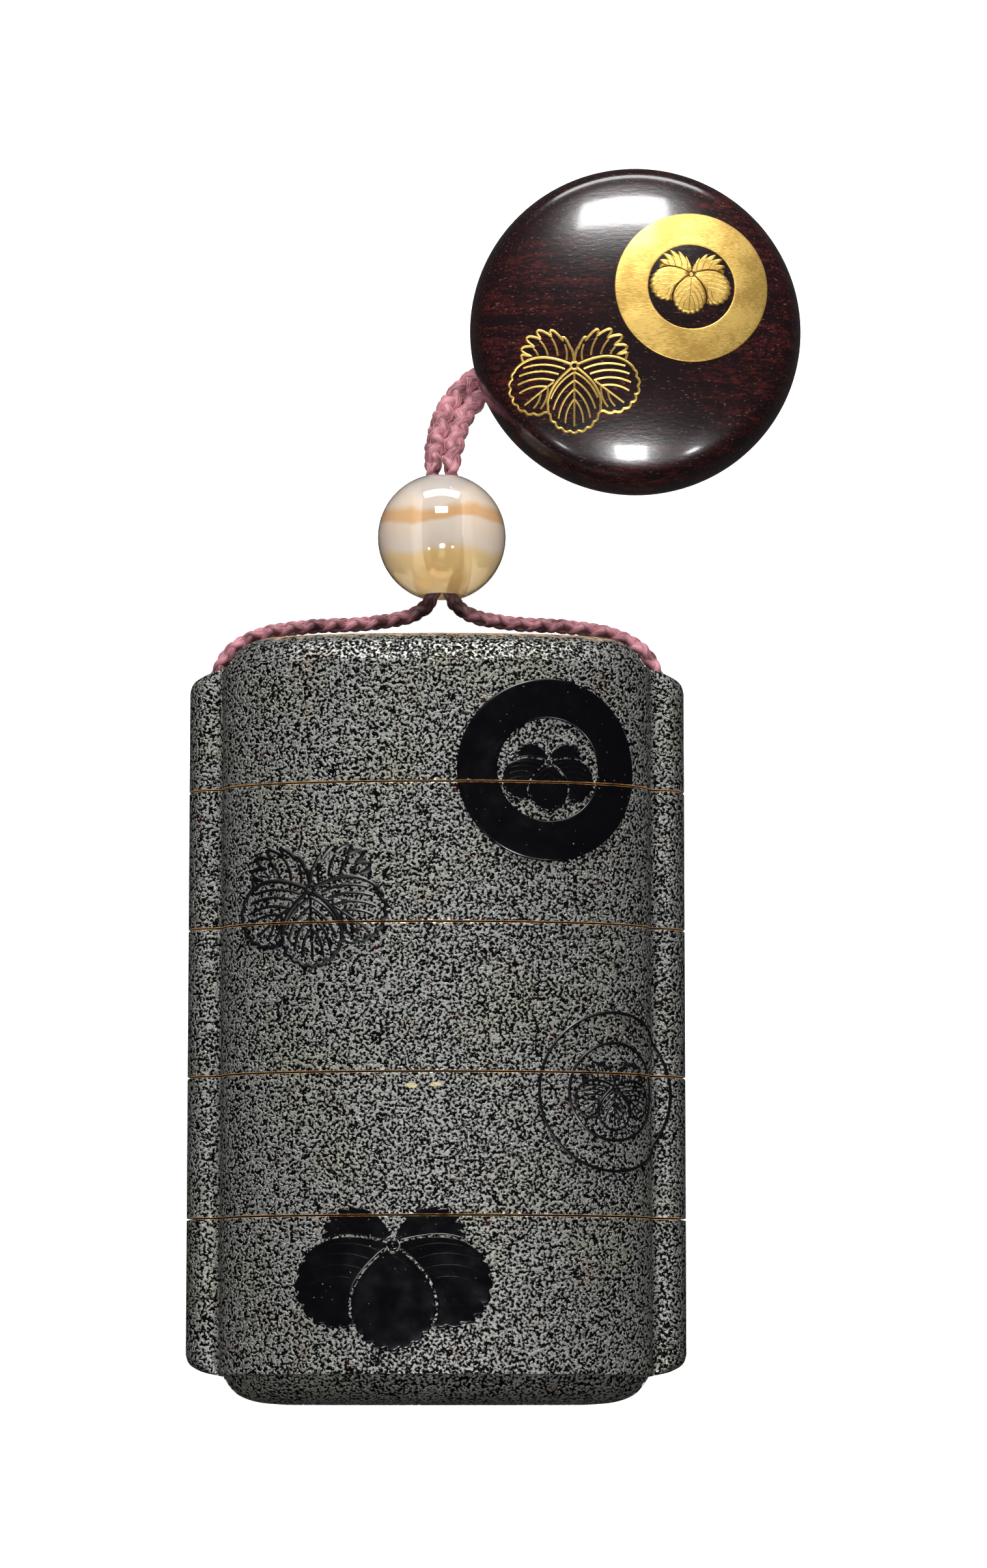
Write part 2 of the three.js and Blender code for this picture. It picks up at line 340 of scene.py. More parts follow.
@dataclass(frozen=True)
class TexturedLacquer:
    """Granular lacquer: an iron-grey crust over black, rubbed flat so that the pits stay black.

    The eye sees a grey net of flat tops with ragged black pits about half a millimetre wide, and a
    small glint where the crust turns down into a pit. The pits' near-black is black lacquer with painted
    shade.
    """

    crust: str = "#9d9e9a"
    crust_olive: str = "#9d9d90"
    crust_brown: str = "#9a9085"
    # Pit colour: black lacquer, darkened further as painted shade, since the pits are only bumped.
    pit_black_and_shade: str = "#020203"
    speck: str = "#2a0f0d"
    worn_rim: str = "#dcb27c"
    worn_core: str = "#c4a27c"
    chip: str = "#c9ba92"
    inside: str = "#1d1411"
    sheen: float = 0.85
    pit_pitch: float = 0.33 * MM
    relief: float = 0.09 * MM
    chip_places: tuple[tuple[float, float, float], ...] = (
        (-2.7 * MM, -8.4 * MM, 23.8 * MM),
        (0.1 * MM, -8.3 * MM, 23.8 * MM),
    )
    chip_size: tuple[float, float, float] = (0.75 * MM, 0.28 * MM, 1.5 * MM)

    def build(self) -> bpy.types.Material:
        """Return the finished material."""
        material, tree, place = new_material("textured_lacquer")
        # Ragged pits, a little more than half of the surface being crust.
        clumps = add_node(
            tree,
            "ShaderNodeTexNoise",
            {
                "Vector": place,
                "Scale": 1 / self.pit_pitch,
                "Detail": 3.0,
                "Roughness": 0.55,
                "Distortion": 0.3,
            },
        )
        # The crust ends sharply, but rounds over into each pit, and that slope catches the lamps.
        crust, slope = (
            add_node(
                tree,
                "ShaderNodeMapRange",
                {"Value": clumps, "From Min": low, "From Max": high},
                interpolation_type="SMOOTHSTEP",
            )
            for low, high in ((0.48, 0.52), (0.42, 0.6))
        )
        olive, brown, red, ragged, grit = (
            add_node(
                tree,
                "ShaderNodeTexNoise",
                {"Vector": place, "Scale": 1 / (pitch * MM), "Detail": detail},
            )
            for pitch, detail in ((9, 3.0), (4, 4.0), (1.3, 2.0), (1.1, 4.0), (0.14, 1.0))
        )
        # The crust's colour drifts in wide patches, and a few pits are dull red.
        toned = lay_tone(tree, linear(self.crust), self.crust_olive, olive, (0.48, 0.7))
        toned = lay_tone(tree, toned, self.crust_brown, brown, (0.58, 0.76))
        # The pits' near-black floor is partly painted shade.
        floor = lay_tone(tree, linear(self.pit_black_and_shade), self.speck, red, (0.67, 0.72))
        colour = add_node(tree, "ShaderNodeMix", {"Factor": crust, "A": floor, "B": toned}, data_type="RGBA")
        sheen: object = add_node(tree, "ShaderNodeMath", {0: crust, 1: self.sheen}, operation="MULTIPLY")
        # Rims are worn through to the warm priming and the crown's edge to the core, in ragged patches.
        # Two chips just below the second seam from the foot show the pale priming.
        rubbed: list[tuple[object, str, float, float]] = []
        for name, tone, low, high in (
            ("wear", self.worn_rim, 0.95, 1.15),
            ("bare", self.worn_core, 0.86, 1.1),
        ):
            amount = add_node(tree, "ShaderNodeAttribute", attribute_name=name).outputs["Fac"]
            rubbed.append((amount, tone, low, high))
        for centre in self.chip_places:
            near = add_node(
                tree,
                "ShaderNodeMapping",
                {
                    "Vector": place,
                    "Location": tuple(-at / size for at, size in zip(centre, self.chip_size)),
                    "Scale": tuple(1 / size for size in self.chip_size),
                },
            )
            away = add_node(tree, "ShaderNodeVectorMath", {0: near}, operation="LENGTH")
            rubbed.append((away, self.chip, 1.55, 1.3))
        for amount, tone, low, high in rubbed:
            total = add_node(tree, "ShaderNodeMath", {0: amount, 1: ragged}, operation="ADD")
            share = add_node(tree, "ShaderNodeMapRange", {"Value": total, "From Min": low, "From Max": high})
            both = {"Factor": share, "A": colour, "B": linear(tone)}
            colour = add_node(tree, "ShaderNodeMix", both, data_type="RGBA")
            dulled = {"Factor": share, "A": sheen, "B": 0.0}
            sheen = add_node(tree, "ShaderNodeMix", dulled, data_type="FLOAT")
        # Risers, sockets and compartments are plain brown-black lacquer, smooth and satin.
        inner = add_node(tree, "ShaderNodeAttribute", attribute_name="inner").outputs["Fac"]
        both = {"Factor": inner, "A": colour, "B": linear(self.inside)}
        colour = add_node(tree, "ShaderNodeMix", both, data_type="RGBA")
        sheen = add_node(tree, "ShaderNodeMix", {"Factor": inner, "A": sheen, "B": 0.0}, data_type="FLOAT")
        outer = add_node(tree, "ShaderNodeMath", {0: 1.0, 1: inner}, operation="SUBTRACT")
        gloss = add_node(tree, "ShaderNodeMapRange", {"Value": crust, "To Min": 0.6, "To Max": 0.37})
        height = add_node(tree, "ShaderNodeMath", {0: grit, 1: 0.16, 2: slope}, operation="MULTIPLY_ADD")
        bump = {"Strength": outer, "Height": height, "Distance": self.relief}
        normal = add_node(tree, "ShaderNodeBump", bump)
        close_material(
            tree,
            {"Base Color": colour, "Metallic": sheen, "Roughness": gloss, "Normal": normal, "IOR": 1.1},
        )
        return material


@dataclass(frozen=True)
class CrestLacquer:
    """Polished black lacquer: near-black and mirror-like, with faint rubbing and specks of dust.

    Drawn lines are matter than the broad leaves. Where a crest crosses a seam its rim is worn warm.
    """

    colour: str = "#050508"
    dust: str = "#8d8d88"
    worn_rim: str = "#b98650"

    def build(self) -> bpy.types.Material:
        """Return the finished material."""
        material, tree, place = new_material("gloss_lacquer")
        specks, ragged, rubbing, ripple = (
            add_node(
                tree,
                "ShaderNodeTexNoise",
                {"Vector": place, "Scale": 1 / (pitch * MM), "Detail": detail},
            )
            for pitch, detail in ((0.25, 0.0), (0.9, 3.0), (2.5, 4.0), (1.4, 2.0))
        )
        colour = lay_tone(tree, linear(self.colour), self.dust, specks, (0.85, 0.89))
        wear = add_node(tree, "ShaderNodeAttribute", attribute_name="wear").outputs["Fac"]
        total = add_node(tree, "ShaderNodeMath", {0: wear, 1: ragged}, operation="ADD")
        colour = lay_tone(tree, colour, self.worn_rim, total, (1.1, 1.4))
        gloss = add_node(
            tree,
            "ShaderNodeMapRange",
            {"Value": rubbing, "From Min": 0.35, "From Max": 0.7, "To Min": 0.12, "To Max": 0.26},
        )
        drawn = add_node(tree, "ShaderNodeAttribute", attribute_name="drawn").outputs["Fac"]
        gloss = add_node(tree, "ShaderNodeMix", {"Factor": drawn, "A": gloss, "B": 0.3}, data_type="FLOAT")
        normal = add_node(tree, "ShaderNodeBump", {"Height": ripple, "Distance": 0.004 * MM})
        close_material(tree, {"Base Color": colour, "Roughness": gloss, "Normal": normal, "IOR": 1.36})
        return material


@dataclass(frozen=True)
class GoldLacquer:
    """Gold powder set in lacquer: a satin metal sheen, brushed along the wood's grain."""

    colour: str = "#dcb866"
    thin: str = "#ae8c46"
    brush_width: float = 0.1 * MM

    def build(self) -> bpy.types.Material:
        """Return the finished material."""
        material, tree, place = new_material("gold_lacquer")
        along = add_node(tree, "ShaderNodeMapping", {"Vector": place, "Scale": (0.14, 1, 1)})
        brushed, cloud = (
            add_node(tree, "ShaderNodeTexNoise", {"Vector": vector, "Scale": 1 / pitch, "Detail": 3.0})
            for vector, pitch in ((along, self.brush_width), (place, 4 * MM))
        )
        thin = add_node(tree, "ShaderNodeMath", {0: brushed, 1: cloud}, operation="MULTIPLY")
        colour = lay_tone(tree, linear(self.colour), self.thin, thin, (0.3, 0.16))
        normal = add_node(tree, "ShaderNodeBump", {"Height": brushed, "Distance": 0.01 * MM})
        close_material(tree, {"Base Color": colour, "Metallic": 0.8, "Roughness": 0.42, "Normal": normal})
        return material


@dataclass(frozen=True)
class Rosewood:
    """Turned and polished rosewood: purple-black, with broken red streaks and pale open pores."""

    colour: str = "#160a0d"
    streak: str = "#481a18"
    pore: str = "#5c413a"

    def build(self) -> bpy.types.Material:
        """Return the finished material."""
        material, tree, place = new_material("rosewood")
        grain = add_node(tree, "ShaderNodeMapping", {"Vector": place, "Scale": (0.14, 1, 0.4)})
        short = add_node(tree, "ShaderNodeMapping", {"Vector": place, "Scale": (0.33, 1, 1)})
        # Long red streaks, broken by short flecks, and strong only in wide patches.
        bands = add_node(
            tree,
            "ShaderNodeTexNoise",
            {"Vector": grain, "Scale": 1 / (0.9 * MM), "Detail": 4.0, "Roughness": 0.65, "Distortion": 0.4},
        )
        flecks = add_node(
            tree,
            "ShaderNodeTexNoise",
            {"Vector": short, "Scale": 1 / (0.3 * MM), "Detail": 3.0, "Roughness": 0.65},
        )
        patches, dots, skin = (
            add_node(
                tree,
                "ShaderNodeTexNoise",
                {"Vector": vector, "Scale": 1 / (pitch * MM), "Detail": detail},
            )
            for vector, pitch, detail in ((place, 16, 2.0), (short, 0.17, 0.0), (short, 0.35, 3.0))
        )
        mixed = add_node(tree, "ShaderNodeMath", {0: bands, 1: flecks}, operation="MULTIPLY")
        red = add_node(
            tree,
            "ShaderNodeMapRange",
            {"Value": mixed, "From Min": 0.2, "From Max": 0.42},
            interpolation_type="SMOOTHSTEP",
        )
        shown = add_node(tree, "ShaderNodeMapRange", {"Value": patches, "From Min": 0.36, "From Max": 0.58})
        share = add_node(tree, "ShaderNodeMath", {0: red, 1: shown}, operation="MULTIPLY")
        both = {"Factor": share, "A": linear(self.colour), "B": linear(self.streak)}
        colour = add_node(tree, "ShaderNodeMix", both, data_type="RGBA")
        colour = lay_tone(tree, colour, self.pore, dots, (0.73, 0.8))
        normal = add_node(tree, "ShaderNodeBump", {"Height": skin, "Distance": 0.012 * MM})
        close_material(
            tree,
            {
                "Base Color": colour,
                "Roughness": 0.24,
                "Normal": normal,
                "IOR": 1.4,
                "Coat Weight": 0.4,
                "Coat Roughness": 0.09,
            },
        )
        return material


@dataclass(frozen=True)
class Agate:
    """Polished banded agate: milky grey and honey layers under a clear glassy skin."""

    middle: float
    milk: str = "#ebe0d4"
    grey: str = "#e3dcd6"
    honey: str = "#e2b98a"
    amber: str = "#f0cf8c"

    def build(self) -> bpy.types.Material:
        """Return the finished material."""
        material, tree, place = new_material("agate")
        along = add_node(tree, "ShaderNodeSeparateXYZ", {0: place}).outputs["Y"]
        drift = add_node(tree, "ShaderNodeTexNoise", {"Vector": place, "Scale": 1 / (8 * MM), "Detail": 3.0})
        level = add_node(tree, "ShaderNodeMath", {0: drift, 1: 3.2 * MM, 2: along}, operation="MULTIPLY_ADD")
        # Layers of tone follow each other along the bore, each over its own stretch in millimetres.
        base = self.middle + 1.6 * MM
        colour: object = linear(self.amber)
        for low, high, tone in (
            (-3.4, -1.7, self.milk),
            (0.9, 1.5, self.honey),
            (2.2, 3.2, self.milk),
            (3.4, 6, self.grey),
        ):
            span = (base + low * MM, base + high * MM)
            colour = lay_tone(tree, colour, tone, level, span, interpolation_type="SMOOTHSTEP")
        close_material(
            tree,
            {
                "Base Color": colour,
                "Roughness": 0.06,
                "IOR": 1.54,
                "Transmission Weight": 0.5,
                "Subsurface Weight": 0.5,
                "Subsurface Radius": (1.0, 0.7, 0.4),
                "Subsurface Scale": 2.5 * MM,
                "Coat Weight": 1.0,
                "Coat Roughness": 0.03,
            },
        )
        return material


@dataclass(frozen=True)
class SilkBraid:
    """Braided silk: fine filaments with a soft sheen, rose on top and deep plum between the strands."""

    light: str = "#bb7c85"
    deep: str = "#521f2b"
    bead_shade_tone: str = "#2c1216"
    # Colour of the painted shade on the silk at the bead's lower mouth and inside its bore.
    filament: float = 0.09 * MM

    def build(self) -> bpy.types.Material:
        """Return the finished material."""
        material, tree, place = new_material("silk_braid")
        along = add_node(tree, "ShaderNodeAttribute", attribute_name="along").outputs["Fac"]
        around = add_node(tree, "ShaderNodeAttribute", attribute_name="around").outputs["Fac"]
        strand = add_node(tree, "ShaderNodeCombineXYZ", {0: along, 1: around})
        laid = add_node(tree, "ShaderNodeMapping", {"Vector": strand, "Scale": (0.11, 1, 1)})
        threads, cloud = (
            add_node(tree, "ShaderNodeTexNoise", {"Vector": vector, "Scale": 1 / pitch, "Detail": 3.0})
            for vector, pitch in ((laid, self.filament), (place, 2.4 * MM))
        )
        both = add_node(tree, "ShaderNodeMath", {0: threads, 1: cloud}, operation="ADD")
        span = (0.75, 1.18)
        colour = lay_tone(tree, linear(self.deep), self.light, both, span, interpolation_type="SMOOTHSTEP")
        # Painted shade: the silk is darkened where it leaves the bead's lower mouth and inside its bore.
        bead_shade = add_node(tree, "ShaderNodeAttribute", attribute_name="bead_shade").outputs["Fac"]
        darker = {"Factor": bead_shade, "A": colour, "B": linear(self.bead_shade_tone)}
        colour = add_node(tree, "ShaderNodeMix", darker, data_type="RGBA")
        normal = add_node(tree, "ShaderNodeBump", {"Height": threads, "Distance": 0.07 * MM})
        close_material(
            tree,
            {
                "Base Color": colour,
                "Roughness": 0.5,
                "Normal": normal,
                "Sheen Weight": 0.35,
                "Sheen Roughness": 0.4,
                "Sheen Tint": linear("#ffe4e2"),
            },
        )
        return material


@dataclass(frozen=True)
class PaleFloor:
    """Matt white studio floor, lit a little from below so that shadows stay pale."""

    colour: str = "#fbfbfb"
    glow: float = 1.0

    def build(self) -> bpy.types.Material:
        """Return the finished material."""
        material, tree, _ = new_material("pale_floor")
        close_material(
            tree,
            {
                "Base Color": linear(self.colour),
                "Roughness": 0.9,
                "Emission Color": linear(self.colour),
                "Emission Strength": self.glow,
            },
        )
        return material


# ---------------------------------------------------------------------------------------------------
# The studio
# ---------------------------------------------------------------------------------------------------


@dataclass
class Studio:
    """Camera, lights and floor. The camera looks down on the front, a little from the foot's side."""

    aim: Vector = Vector((6.6 * MM, 27.47 * MM, 12.5 * MM))
    distance: float = 640 * MM
    lean_degrees: float = 7.2
    lens: float = 126.3
    sensor: float = 36.0
    floor_size: float = 4.0
    reach: float = 0.9
    room_glow: float = 0.05

    def camera(self) -> None:
        """Place the camera and make it the scene's own."""
        lean = math.radians(self.lean_degrees)
        forward = Vector((0, math.sin(lean), -math.cos(lean)))
        camera = bpy.data.cameras.new("camera")
        camera.sensor_width = self.sensor
        camera.lens = self.lens
        camera.clip_start = 0.01
        holder = placed("camera", camera)
        holder.location = self.aim - forward * self.distance
        holder.rotation_euler = (lean, 0, 0)
        bpy.context.scene.camera = holder

    def lamp(self, name: str, place: Sequence[float], size: Sequence[float], watts: float) -> None:
        """Hang one soft light that points at the middle of the object.

        Args:
            name: The light's name.
            place: Its centre, in metres.
            size: Width and height of its panel, in metres.
            watts: Its power.
        """
        light = bpy.data.lights.new(name, "AREA")
        light.shape = "RECTANGLE"
        light.size, light.size_y = size
        light.energy = watts
        holder = placed(name, light)
        holder.location = place
        holder.rotation_euler = (self.aim - Vector(place)).to_track_quat("-Z", "Y").to_euler()

    def lights(self) -> None:
        """Hang the soft boxes beyond the lid and before the foot, and darken the room."""
        reach = self.reach
        self.lamp("window", (0.0, 0.7 * reach, 0.71 * reach), (0.3, 0.18), 7.0)
        self.lamp("front_box", (0.02, -0.32 * reach, 0.86 * reach), (0.12, 0.1), 3.6)
        self.lamp("right_lamp", (0.34 * reach, -0.37 * reach, 0.86 * reach), (0.06, 0.05), 0.6)
        self.lamp("left_lamp", (-0.38 * reach, -0.41 * reach, 0.82 * reach), (0.06, 0.05), 0.35)
        self.lamp("low_window", (0.0, 0.98 * reach, 0.17 * reach), (0.7, 0.24), 6.0)
        world = bpy.data.worlds.new("room")
        world.use_nodes = True
        tree = world.node_tree
        tree.nodes.clear()
        glow = add_node(tree, "ShaderNodeBackground", {"Color": (1, 1, 1, 1), "Strength": self.room_glow})
        add_node(tree, "ShaderNodeOutputWorld", {"Surface": glow})
        bpy.context.scene.world = world
        bpy.context.scene.view_settings.view_transform = "Standard"

    def floor(self) -> None:
        """Lay the floor under the object."""
        half = self.floor_size / 2
        corners = [(-half, -half, 0), (half, -half, 0), (half, half, 0), (-half, half, 0)]
        mesh = bpy.data.meshes.new("floor")
        mesh.from_pydata(corners, [], [(0, 1, 2, 3)])
        floor = new_object("floor", mesh, PaleFloor().build())
        # Only the camera sees it: it throws no light up at the sides, and no polish mirrors it.
        floor.visible_diffuse = False
        floor.visible_glossy = False
        floor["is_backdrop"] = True


# ---------------------------------------------------------------------------------------------------
# The cord
# ---------------------------------------------------------------------------------------------------


def curve_through(stops: Sequence[Vector], steps_for: Callable[[float], int]) -> list[Vector]:
    """Draw a centripetal curve through stops.

    Args:
        stops: Places that the curve passes through.
        steps_for: Number of steps between two stops, from the distance between them.

    Returns:
        Points along the curve, its two ends included.
    """
    ends = [2 * stops[0] - stops[1], *stops, 2 * stops[-1] - stops[-2]]
    points: list[Vector] = []
    for p0, p1, p2, p3 in zip(ends, ends[1:], ends[2:], ends[3:]):
        t1 = (p1 - p0).length ** 0.5
        t2 = t1 + (p2 - p1).length ** 0.5
        t3 = t2 + (p3 - p2).length ** 0.5
        count = steps_for((p2 - p1).length)
        for number in range(count):
            t = t1 + (t2 - t1) * number / count
            a1 = p0.lerp(p1, t / t1)
            a2 = p1.lerp(p2, (t - t1) / (t2 - t1))
            a3 = p2.lerp(p3, (t - t2) / (t3 - t2))
            b1 = a1.lerp(a2, t / t2)
            b2 = a2.lerp(a3, (t - t1) / (t3 - t1))
            points.append(b1.lerp(b2, (t - t1) / (t2 - t1)))
    points.append(stops[-1].copy())
    return points


def smooth_curve(corners: Sequence[tuple[float, float]], steps: int) -> Outline:
    """Round a profile off through its corners, with this many steps between neighbours."""
    curve = curve_through([Vector((a, b, 0)) for a, b in corners], lambda distance: steps)
    return [*((point.x, point.y) for point in curve[:-1]), corners[-1]]


def smooth_route(stops: Sequence[Vector], step: float) -> list[Vector]:
    """Draw a curve through stops, with its points about one step apart."""
    finer = 0.25 * step
    dense = curve_through(stops, lambda distance: max(2, round(distance / finer)))
    return evenly_spaced(dense, step)


def evenly_spaced(points: Sequence[Vector], step: float) -> list[Vector]:
    """Divide a line into equal steps.

    Args:
        points: The line's corners.
        step: Length wanted for each step.

    Returns:
        Points along the line, its two ends included.
    """
    lengths = [(b - a).length for a, b in zip(points, points[1:])]
    total = sum(lengths)
    count = max(1, round(total / step))
    result = []
    position, leg = 0.0, 0
    for number in range(count):
        target = total * number / count
        while position + lengths[leg] < target:
            position += lengths[leg]
            leg += 1
        result.append(points[leg].lerp(points[leg + 1], (target - position) / lengths[leg]))
    result.append(points[-1].copy())
    return result


def moving_frames(points: Sequence[Vector]) -> list[tuple[Vector, Vector]]:
    """Carry two cross directions along a line without twisting them.

    Args:
        points: The line's points.

    Returns:
        For each point, two unit vectors across the line.
    """
    frames = []
    side = Vector((0, 0, 1))
    for index in range(len(points)):
        ahead = points[min(index + 1, len(points) - 1)]
        behind = points[max(index - 1, 0)]
        tangent = (ahead - behind).normalized()
        side = (side - tangent * side.dot(tangent)).normalized()
        frames.append((side, tangent.cross(side)))
    return frames


def tube_points(line: Sequence[Vector], radii: Sequence[float], sides: int) -> list[Vector]:
    """Set a ring of points round each point of a line.

    Args:
        line: The middle of each ring.
        radii: The radius of each ring.
        sides: Points in each ring.

    Returns:
        The points, ring by ring.
    """
    points = []
    for centre, (side, across), radius in zip(line, moving_frames(line), radii):
        for turn in range(sides):
            angle = math.tau * turn / sides
            points.append(centre + (side * math.cos(angle) + across * math.sin(angle)) * radius)
    return points


@dataclass
class Cord:
    """One braided silk cord: from the netsuke through the bead, round the case and back again."""

    bead: "Bead"
    diameter: float = 1.84 * MM
    swell: float = 1.4
    strands: int = 4
    strand_share: float = 0.26
    orbit_share: float = 0.42
    weave_share: float = 0.13
    strand_shift: float = 0.7
    stitch: float = 2.5 * MM
    # Strength of the painted shade on the silk at the bead.
    darkest: float = 0.85
    step: float = 0.3 * MM
    sides: int = 10
    stops_in_netsuke: int = 4
    stops_before_case: int = 9
    left_run: tuple[tuple[float, float, float], ...] = (
        (12.9, 81, 4.8), (8.8, 79.6, 1.8), (4.3, 77.7, 1.3), (1.1, 73.9, 3), (-0.3, 68.6, 6.1),
        (-0.6, 64.6, 7.4), (-0.6, 50.4, 7.45), (-2.4, 48.3, 8.1), (-7.5, 46.9, 9.4), (-15.4, 46.2, 10.7),
        (-20.6, 45.2, 11.3), (-24.1, 43.1, 11.8), (-25.7, 40, 11.84), (-25.8, 36, 11.84),
        (-25.8, -32, 11.84), (-25.1, -36.1, 11.84), (-22.9, -39.2, 11.84), (-19.8, -41.3, 11.84),
        (-16, -42, 11.84),
    )  # fmt: skip
    foot_middle: tuple[float, float, float] = (0, -42, 11.84)
    right_run: tuple[tuple[float, float, float], ...] = (
        (13.6, 78.8, 4.8), (9.6, 77.5, 1.8), (5.5, 75.9, 1.3), (3.1, 72.9, 3), (1.8, 68.2, 6.1),
        (1.6, 64.6, 7.4), (1.6, 50.4, 7.45), (3.6, 48.2, 8.1), (8.2, 46.9, 9.4), (15.4, 46.2, 10.7),
        (20.8, 45.1, 11.3), (24.2, 43, 11.8), (25.7, 40, 11.84), (25.8, 36, 11.84),
        (25.8, -32, 11.84), (25.1, -36.1, 11.84), (22.9, -39.2, 11.84), (19.8, -41.3, 11.84),
        (16, -42, 11.84),
    )  # fmt: skip

    def stops(self) -> list[Vector]:
        """Return the whole route's stops, in metres."""
        listed = [*self.left_run, self.foot_middle, *reversed(self.right_run)]
        return [Vector(stop) * MM for stop in listed]

    def plumpness(self, place: Vector) -> float:
        """Return how much thicker than its declared size the braid is: plump where it hangs free."""
        above_bead = self.bead.centre.y + self.bead.radius
        free = smooth_step(above_bead, above_bead + 3 * MM, place.y)
        return 1 + (self.swell - 1) * free

    def bead_shade(self, place: Vector) -> float:
        """Return how much painted shade darkens the silk: where it leaves the bead's lower mouth and inside
        its bore.
        """
        below_bead = self.bead.centre.y - self.bead.radius
        reach = abs(place.x - 0.5 * MM)
        near = 1 - smooth_step(1.5 * MM, 7 * MM, reach)
        inside = smooth_step(below_bead - 3.2 * MM, below_bead - 1.5 * MM, place.y)
        past = 1 - smooth_step(below_bead + 12 * MM, below_bead + 16 * MM, place.y)
        return self.darkest * near * inside * past

    def strand(
        self,
        number: int,
        route: list[Vector],
        frames: list[tuple[Vector, Vector]],
        plump: list[float],
    ) -> list[Vector]:
        """Lay one strand of the round braid.

        Args:
            number: Which strand; even ones wind one way and odd ones the other.
            route: The cord's centre line.
            frames: The cross directions at each of its points.
            plump: How much thicker than declared the braid is at each point.

        Returns:
            The strand's centre line.
        """
        way = 1 if number % 2 == 0 else -1
        start = math.tau * number / self.strands
        radius = self.diameter / 2
        points = []
        for index, (centre, (side, across)) in enumerate(zip(route, frames)):
            phase = math.pi * index * self.step / self.stitch
            angle = way * phase + start
            weave = self.weave_share * way * math.sin(2 * phase)
            out = radius * (self.orbit_share + weave) * plump[index]
            points.append(centre + (side * math.cos(angle) + across * math.sin(angle)) * out)
        return points

    def build(self) -> bpy.types.Object:
        """Braid the cord along its route.

        Returns:
            The finished piece.
        """
        route = smooth_route(self.stops(), self.step)
        frames = moving_frames(route)
        plump = [self.plumpness(place) for place in route]
        # Painted shade on the silk at the bead's lower mouth and inside its bore.
        dark = [self.bead_shade(place) for place in route]
        points: list[Vector] = []
        faces: list[tuple[int, ...]] = []
        marks: dict[str, list[float]] = {"along": [], "around": [], "bead_shade": []}
        thickness = self.diameter * self.strand_share
        turns = [abs(math.tau * turn / self.sides - math.pi) * thickness for turn in range(self.sides)]
        for number in range(self.strands):
            line = self.strand(number, route, frames, plump)
            first = len(points)
            for place in tube_points(line, [thickness * much for much in plump], self.sides):
                place.z = max(place.z, 0.0)
                points.append(place)
            for index in range(len(line)):
                # Each strand takes its threads from another stretch of the pattern.
                marks["along"] += [index * self.step + number * self.strand_shift] * self.sides
                marks["around"] += turns
                marks["bead_shade"] += [dark[index]] * self.sides
            skin = ring_faces(len(line), self.sides)
            faces += [tuple(first + corner for corner in face) for face in skin]
        mesh = mesh_from(points, faces, marks, weld=False)
        finish_shading(mesh, sharp_degrees=60)
        cord = new_object("braided_cord", mesh, SilkBraid().build())
        dress(cord, "silk_braid", "cord")
        length = sum((b - a).length for a, b in zip(route, route[1:]))
        tuple(self.stops()[0])
        [tuple(point) for point in evenly_spaced(route, 2 * MM)]
        return cord


# ---------------------------------------------------------------------------------------------------
# The bead
# ---------------------------------------------------------------------------------------------------


@dataclass
class Bead:
    """Round agate bead on both runs of the cord, resting on a small flat spot."""

    radius: float = 7.55 * MM
    bore_radius: float = 2.4 * MM
    lip: float = 0.35 * MM
    around: int = 96
    along: int = 60
    centre: Vector = field(init=False)

    def __post_init__(self) -> None:
        """Find the bead's centre from its solid's box."""
        low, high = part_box("bead")
        middle = (low + high) / 2
        self.centre = Vector((middle.x, middle.y, high.z - self.radius))

    def profile(self) -> Outline:
        """Return distance from the bore's axis and place along it, round the bead and back inside."""
        start = math.asin((self.bore_radius + self.lip) / self.radius)
        outside = []
        for step in range(self.along + 1):
            angle = start + (math.pi - 2 * start) * step / self.along
            outside.append((self.radius * math.sin(angle), -self.radius * math.cos(angle)))
        end = outside[-1][1] - self.lip
        return [*outside, (self.bore_radius, end), (self.bore_radius, 0.0), (self.bore_radius, -end)]

    def build(self) -> bpy.types.Object:
        """Turn the bead.

        Returns:
            The finished piece.
        """
        profile = self.profile()
        points = []
        for out, along in profile:
            for turn in range(self.around):
                angle = math.tau * turn / self.around
                place = self.centre + Vector((out * math.cos(angle), along, out * math.sin(angle)))
                points.append((place.x, place.y, max(0.0, place.z)))
        mesh = mesh_from(points, ring_faces(len(profile), self.around, Ends.JOINED))
        finish_shading(mesh, sharp_degrees=50)
        bead = new_object("agate_bead", mesh, Agate(middle=self.centre.y).build())
        dress(bead, "agate", "bead")
        return bead


# ---------------------------------------------------------------------------------------------------
# The case
# ---------------------------------------------------------------------------------------------------


@dataclass(frozen=True)
class Ring:
    """One section of a case piece: its level, how far it is set in, and how far the flange reaches."""

    level: float
    inset: float
    reach: float = 0.0
    wear: float = 0.0
    bare: float = 0.0
    inner: float = 0.0


